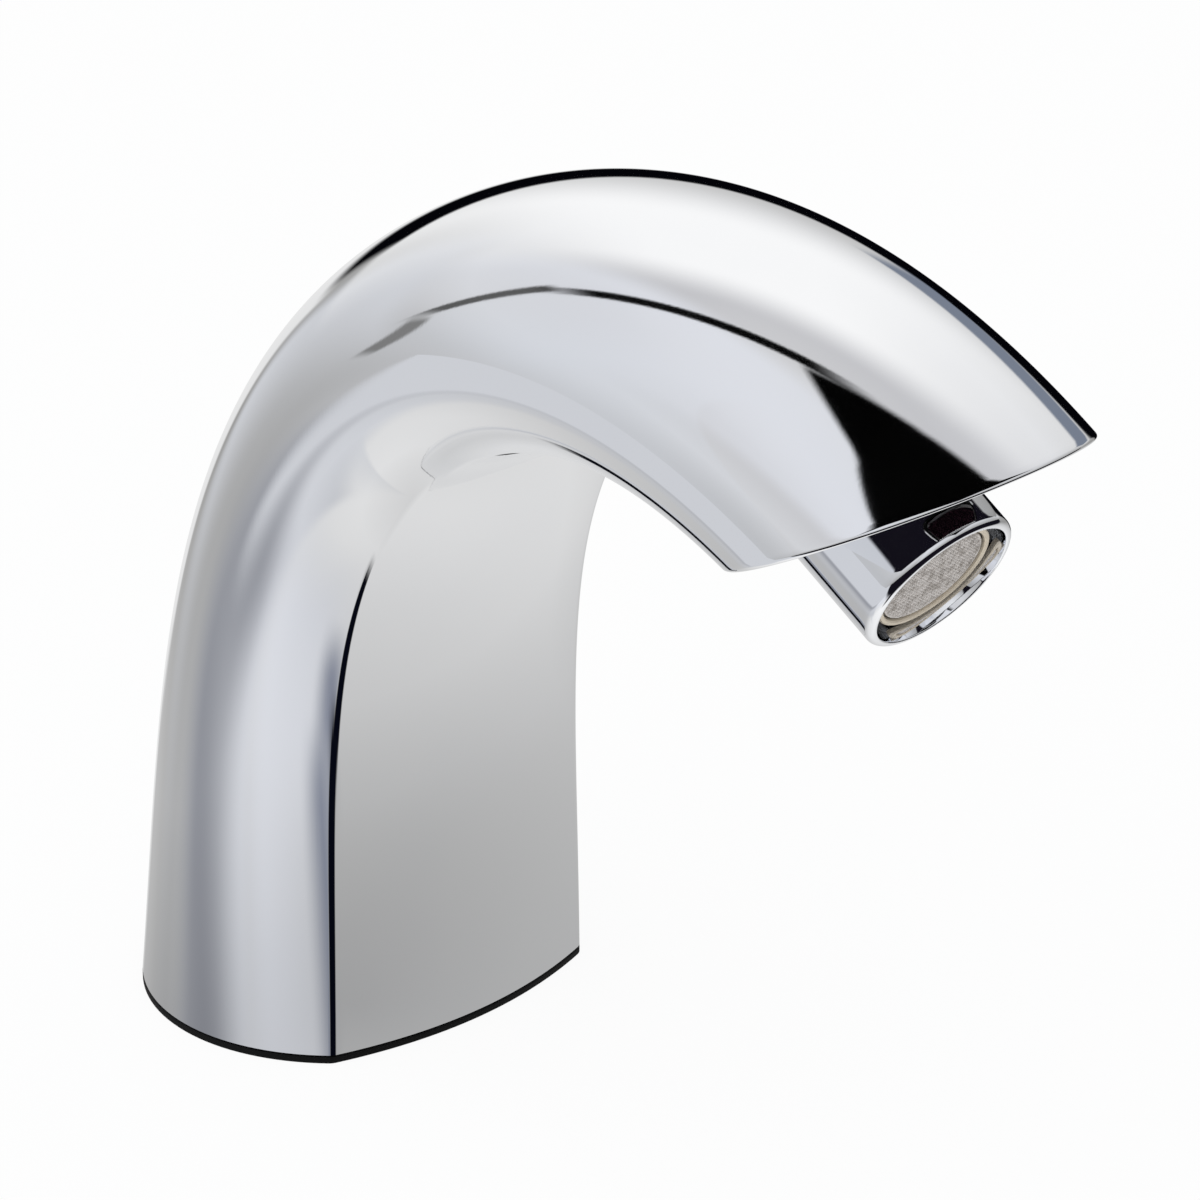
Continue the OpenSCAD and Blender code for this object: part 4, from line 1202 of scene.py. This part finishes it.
@dataclass
class Studio:
    """Camera, floor and lights."""

    azimuth: float = 46.0
    elevation: float = 25.38
    distance: float = 1200.0
    lens: float = 259.2
    target: tuple[float, float, float] = (53.5, 0.0, 66.0)
    shift_right: float = -0.287
    shift_up: float = 8.563
    floor_half: float = 4.0
    floor_drop: float = 0.00002
    floor_shadow: float = 0.07
    shade_at: tuple[float, float] = (41.4, -18.8)
    shade_r: float = 120.0
    shade_strength: float = 0.33
    # Painted light: a pale grey glow on the far-left floor, seen only in reflections; the floor nearer the tap stays
    # clear, so the world's dark band reads there as painted floor shade.
    painted_light_edge: float = 160.0
    painted_light_way: float = -52.0
    painted_light_from: float = 61.0
    painted_light_soft: float = 16.0
    painted_light: Color = srgb(210, 212, 217)
    # Painted dark zone on the floor past an edge towards +x, seen only in reflections.
    painted_dark_way: float = -1.0
    painted_dark_from: float = 184.0
    painted_dark_soft: float = 14.0
    painted_dark: Color = srgb(20, 18, 26)
    white: Color = (1.0, 1.0, 1.0)
    even: Color = (0.96, 0.98, 1.0)
    even_strength: float = 0.8
    lamp_power: float = 4.0
    lamp_size: float = 1.2
    lamp_at: tuple[float, float, float] = (0.25, -0.5, 1.1)
    lamp_aim: tuple[float, float, float] = (0.05, 0.0, 0.05)
    sky: tuple[tuple[float, Color], ...] = (
        (-90, grey(255)), (-70, grey(255)), (-50, grey(233)), (-38, grey(220)), (-28, grey(201)),
        (-15, srgb(150, 149, 147)), (5, grey(176)), (30, srgb(216, 217, 220)), (60, srgb(202, 202, 205)),
        (90, grey(222)))
    panels: tuple[Panel, ...] = (
        Panel("left wall", ROUND, -90.4, 30.7, 20.4, 57.5, srgb(217, 220, 226), 30, 2.5, -1.94),
        Panel("right ceiling", OVERHEAD, -0.145, -0.145, 0.446, 0.539, srgb(227, 229, 235), 0.478, 0.109, -0.92),
        Panel("left dusk", ROUND, -102.6, -16.2, 50.9, 21.7, srgb(213, 215, 220), 5, 5.8, -0.46),
        Panel("left dim", ROUND, -115.4, -17.2, 23.6, 19.8, grey(173), 20.2, 21, 0.12),
        Panel("left dark", ROUND, -79, -29, 28, 5, srgb(149, 151, 158), 12, 5, -0.25),
        Panel("low front", ROUND, -24.5, -36.4, 31.1, 16.3, srgb(229, 231, 237), 20.8, 11.1, -0.19),
        Panel("low front edge", ROUND, 0, -26, 6, 5, srgb(140, 146, 162), 8, 4, 0),
        Panel("low front edge high", ROUND, 6, -37, 7, 8, srgb(146, 151, 166), 7, 6, 0),
        Panel("back sky", OVERHEAD, 0.054, 0.759, 0.464, 0.216, grey(255), 0.328, 0.095, -0.19),
        Panel("rear strip", ROUND, 177, -12, 22, 13, srgb(4, 4, 8), 2.5, 1.2, 0),
        Panel("bright graze", ROUND, -171.8, -21.1, 14.4, 8.6, grey(233), 2.2, 2.1, 0.48),
        Panel("crown grey", ROUND, 154, 7.5, 12, 4.5, srgb(122, 130, 145), 1.5, 1, -0.3),
        Panel("slat end", OVERHEAD, -0.93, 0.335, 0.05, 0.02, grey(126), 0.02, 0.008, 1.1),
        Panel("slat far", OVERHEAD, -0.7, 0.428, 0.16, 0.02, grey(90), 0.03, 0.008, 0.1),
        Panel("slat near", OVERHEAD, -0.17, 0.365, 0.37, 0.024, grey(5), 0.1, 0.008, -0.16),
        Panel("overhead flag", OVERHEAD, 0.443, -0.085, 0.362, 0.38, grey(2), 0.02, 0.02, 0),
        Panel("overhead flag low", OVERHEAD, 0.05, -0.32, 0.12, 0.25, grey(2), 0.05, 0.03, 2),
        Panel("corner flag", ROUND, 25, -26, 18, 10, srgb(8, 10, 22), 3, 4, 0),
        Panel("corner flag low", ROUND, 32, -48, 16, 18, srgb(8, 10, 22), 3, 4, 0))

    def camera(self) -> None:
        """The camera at the photograph's viewing angle."""
        a, e = math.radians(self.azimuth), math.radians(self.elevation)
        back = Vector((math.sin(a) * math.cos(e), -math.cos(a) * math.cos(e), math.sin(e)))
        right = Vector((math.cos(a), math.sin(a), 0))
        up = back.cross(right)
        aim = Vector(self.target) + right * self.shift_right + up * self.shift_up
        data = bpy.data.cameras.new("camera")
        data.lens, data.sensor_width, data.sensor_fit = self.lens, 36.0, "HORIZONTAL"
        data.clip_start, data.clip_end = 0.05, 50.0
        made = bpy.data.objects.new("camera", data)
        bpy.context.scene.collection.objects.link(made)
        made.matrix_world = Matrix((right, up, back)).transposed().to_4x4()
        made.location = (aim + back * self.distance) * MM
        bpy.context.scene.camera = made

    def floor(self) -> None:
        """The pale floor. Metal and clear plastic see painted light and shade on it: a painted shadow round the foot,
        a painted pale grey glow on the far-left floor and a painted dark zone further out towards +x.
        """
        made = bpy.data.materials.new("pale_floor")
        w = Wiring.fresh(made)
        path = w.node("LightPath").outputs
        matt = w.node("BsdfDiffuse", Color=(0.9, 0.9, 0.9))
        shown = w.layer(self.floor_shadow, w.glow(self.white), matt)
        seen = w.layer(path["Is Camera Ray"], matt, shown)
        place = w.node("NewGeometry").outputs["Position"]
        # Painted light: a pale grey glow on the far-left floor, seen only in reflections; nearer the tap the floor is
        # left clear, so the world's dark band shows there as painted floor shade.
        painted_light = w.math("MULTIPLY", self.beyond(w, place, -90.0, self.painted_light_edge, self.painted_light_soft),
                       self.beyond(w, place, self.painted_light_way, self.painted_light_from, self.painted_light_soft))
        under = w.layer(painted_light, w.node("BsdfTransparent"), w.glow(self.painted_light))
        away = w.node("VectorMath", {"operation": "DISTANCE"}, _0=place,
                      _1=(self.shade_at[0] * MM, self.shade_at[1] * MM, 0.0)).outputs["Value"]
        shade = w.math("SUBTRACT", 1.0, w.math("DIVIDE", away, self.shade_r * MM), clamp=True)
        under = w.layer(w.math("MULTIPLY", shade, self.shade_strength), under, w.glow((0.0, 0.0, 0.0)))
        # Painted dark zone on the floor past an edge towards +x, seen only in reflections.
        under = w.layer(self.beyond(w, place, self.painted_dark_way, self.painted_dark_from, self.painted_dark_soft), under,
                        w.glow(self.painted_dark))
        mirrored = w.math("MAXIMUM", path["Is Glossy Ray"], path["Is Transmission Ray"])
        w.node("OutputMaterial", Surface=w.layer(mirrored, seen, under))
        mesh, size = bpy.data.meshes.new("floor"), self.floor_half
        mesh.from_pydata([(-size, -size, 0), (size, -size, 0), (size, size, 0), (-size, size, 0)], [], [(0, 1, 2, 3)])
        mesh.materials.append(made)
        plane = bpy.data.objects.new("floor", mesh)
        bpy.context.scene.collection.objects.link(plane)
        plane.location.z = -self.floor_drop

    @staticmethod
    def beyond(w: Wiring, place: bpy.types.NodeSocket, way: float, start: float, soft: float
               ) -> bpy.types.NodeSocket:
        """Mask of the floor beyond a straight edge.

        Args:
            w: The floor's wiring.
            place: Position on the floor.
            way: Degrees round from +x of the way across the edge.
            start: Distance of the edge from the origin.
            soft: Half the edge's softness.

        Returns:
            0 before the edge and 1 beyond it.
        """
        turn = math.radians(way)
        ahead = w.node("VectorMath", {"operation": "DOT_PRODUCT"}, _0=place,
                       _1=(math.cos(turn) / MM, math.sin(turn) / MM, 0.0)).outputs["Value"]
        return w.fade(ahead, start - soft, start + soft)

    def world(self) -> None:
        """White background, an even light for matt surfaces and panels that the metal reflects."""
        made = bpy.data.worlds.new("studio")
        bpy.context.scene.world = made
        w = Wiring.fresh(made)
        x, y, z = w.node("SeparateXYZ", Vector=w.node("TexCoord").outputs["Generated"]).outputs
        round_z = w.math("DEGREES", w.math("ARCTAN2", x, w.math("MULTIPLY", y, -1.0)))
        azimuth = w.math("WRAP", w.math("SUBTRACT", round_z, self.azimuth), 180.0, -180.0)
        elevation = w.math("DEGREES", w.math("ARCSINE", z))
        path = w.node("LightPath").outputs
        even = w.node("Background", Color=self.even, Strength=self.even_strength)
        mirror = w.node("Background", Color=self.reflected(w, azimuth, elevation), Strength=1.0)
        plain = w.node("Background", Color=self.white, Strength=1.0)
        direct = w.math("MAXIMUM", path["Is Camera Ray"], path["Is Transmission Ray"])
        shown = w.layer(path["Is Glossy Ray"], even, mirror)
        w.node("OutputWorld", Surface=w.layer(direct, shown, plain))

    def reflected(self, w: Wiring, azimuth: bpy.types.NodeSocket, elevation: bpy.types.NodeSocket
                  ) -> bpy.types.NodeSocket:
        """Colour of the studio in each direction.

        Args:
            w: The world's wiring.
            azimuth: Degrees round from the camera.
            elevation: Degrees above the horizon.

        Returns:
            The colour.
        """
        ramp = w.node("ValToRGB", Fac=w.math("DIVIDE", w.math("ADD", elevation, 90.0), 180.0))
        stops = ramp.color_ramp.elements
        for (level, shade), stop in zip((self.sky[0], self.sky[-1]), stops):
            stop.position, stop.color = (level + 90) / 180, (*shade, 1)
        for level, shade in self.sky[1:-1]:
            stops.new((level + 90) / 180).color = (*shade, 1)
        colour = ramp.outputs["Color"]
        turn, reach = w.math("RADIANS", azimuth), w.math("COSINE", w.math("RADIANS", elevation))
        right = w.math("MULTIPLY", w.math("SINE", turn), reach)
        away = w.math("MULTIPLY", w.math("MULTIPLY", w.math("COSINE", turn), reach), -1.0)
        above = w.fade(elevation, -2.0, 2.0)
        for panel in self.panels:
            flat = panel.sight is OVERHEAD
            made = Effects.place(w, Effect.PANEL, Behind=colour, Azimuth=right if flat else azimuth,
                                 Elevation=away if flat else elevation, **panel.values())
            colour = w.mix(above, colour, made) if flat else made
        return colour

    def lamp(self) -> None:
        """One large soft lamp above, unseen in the metal."""
        data = bpy.data.lights.new("overhead", "AREA")
        data.energy, data.size, data.color = self.lamp_power, self.lamp_size, self.white
        made = bpy.data.objects.new("overhead", data)
        bpy.context.scene.collection.objects.link(made)
        made.location = self.lamp_at
        made.rotation_euler = (Vector(self.lamp_aim) - made.location).to_track_quat("-Z", "Y").to_euler()
        made.visible_glossy = made.visible_camera = False

    def build(self) -> None:
        """Sets the whole studio up."""
        bpy.context.scene.view_settings.view_transform = "Standard"
        self.camera()
        self.floor()
        self.world()
        self.lamp()
        LOG.info("studio ready")


def dress_frame(frame: dict) -> None:
    """Gives every CAD node that still shows its slot's finish.

    Args:
        frame: The loaded frame.
    """
    slots = {part["node"]: part["material_slot"] for part in frame["record"]["subparts"]}
    for name, piece in frame["nodes"].items():
        if piece.hide_render:
            continue
        for holder in piece.material_slots:
            holder.material = FINISHES[slots[name]].material()
        LOG.info("%s wears %s", name, slots[name])


def main() -> None:
    """Builds the tap's looks in order."""
    logging.basicConfig(level=logging.INFO, format="%(name)s: %(message)s")
    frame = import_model()
    Studio().build()
    for maker in (SpoutBody, Gasket, Outlet, Waterway, Solenoid, Leads):
        maker().dress()
    dress_frame(frame)


if __name__ == "__main__":
    main()
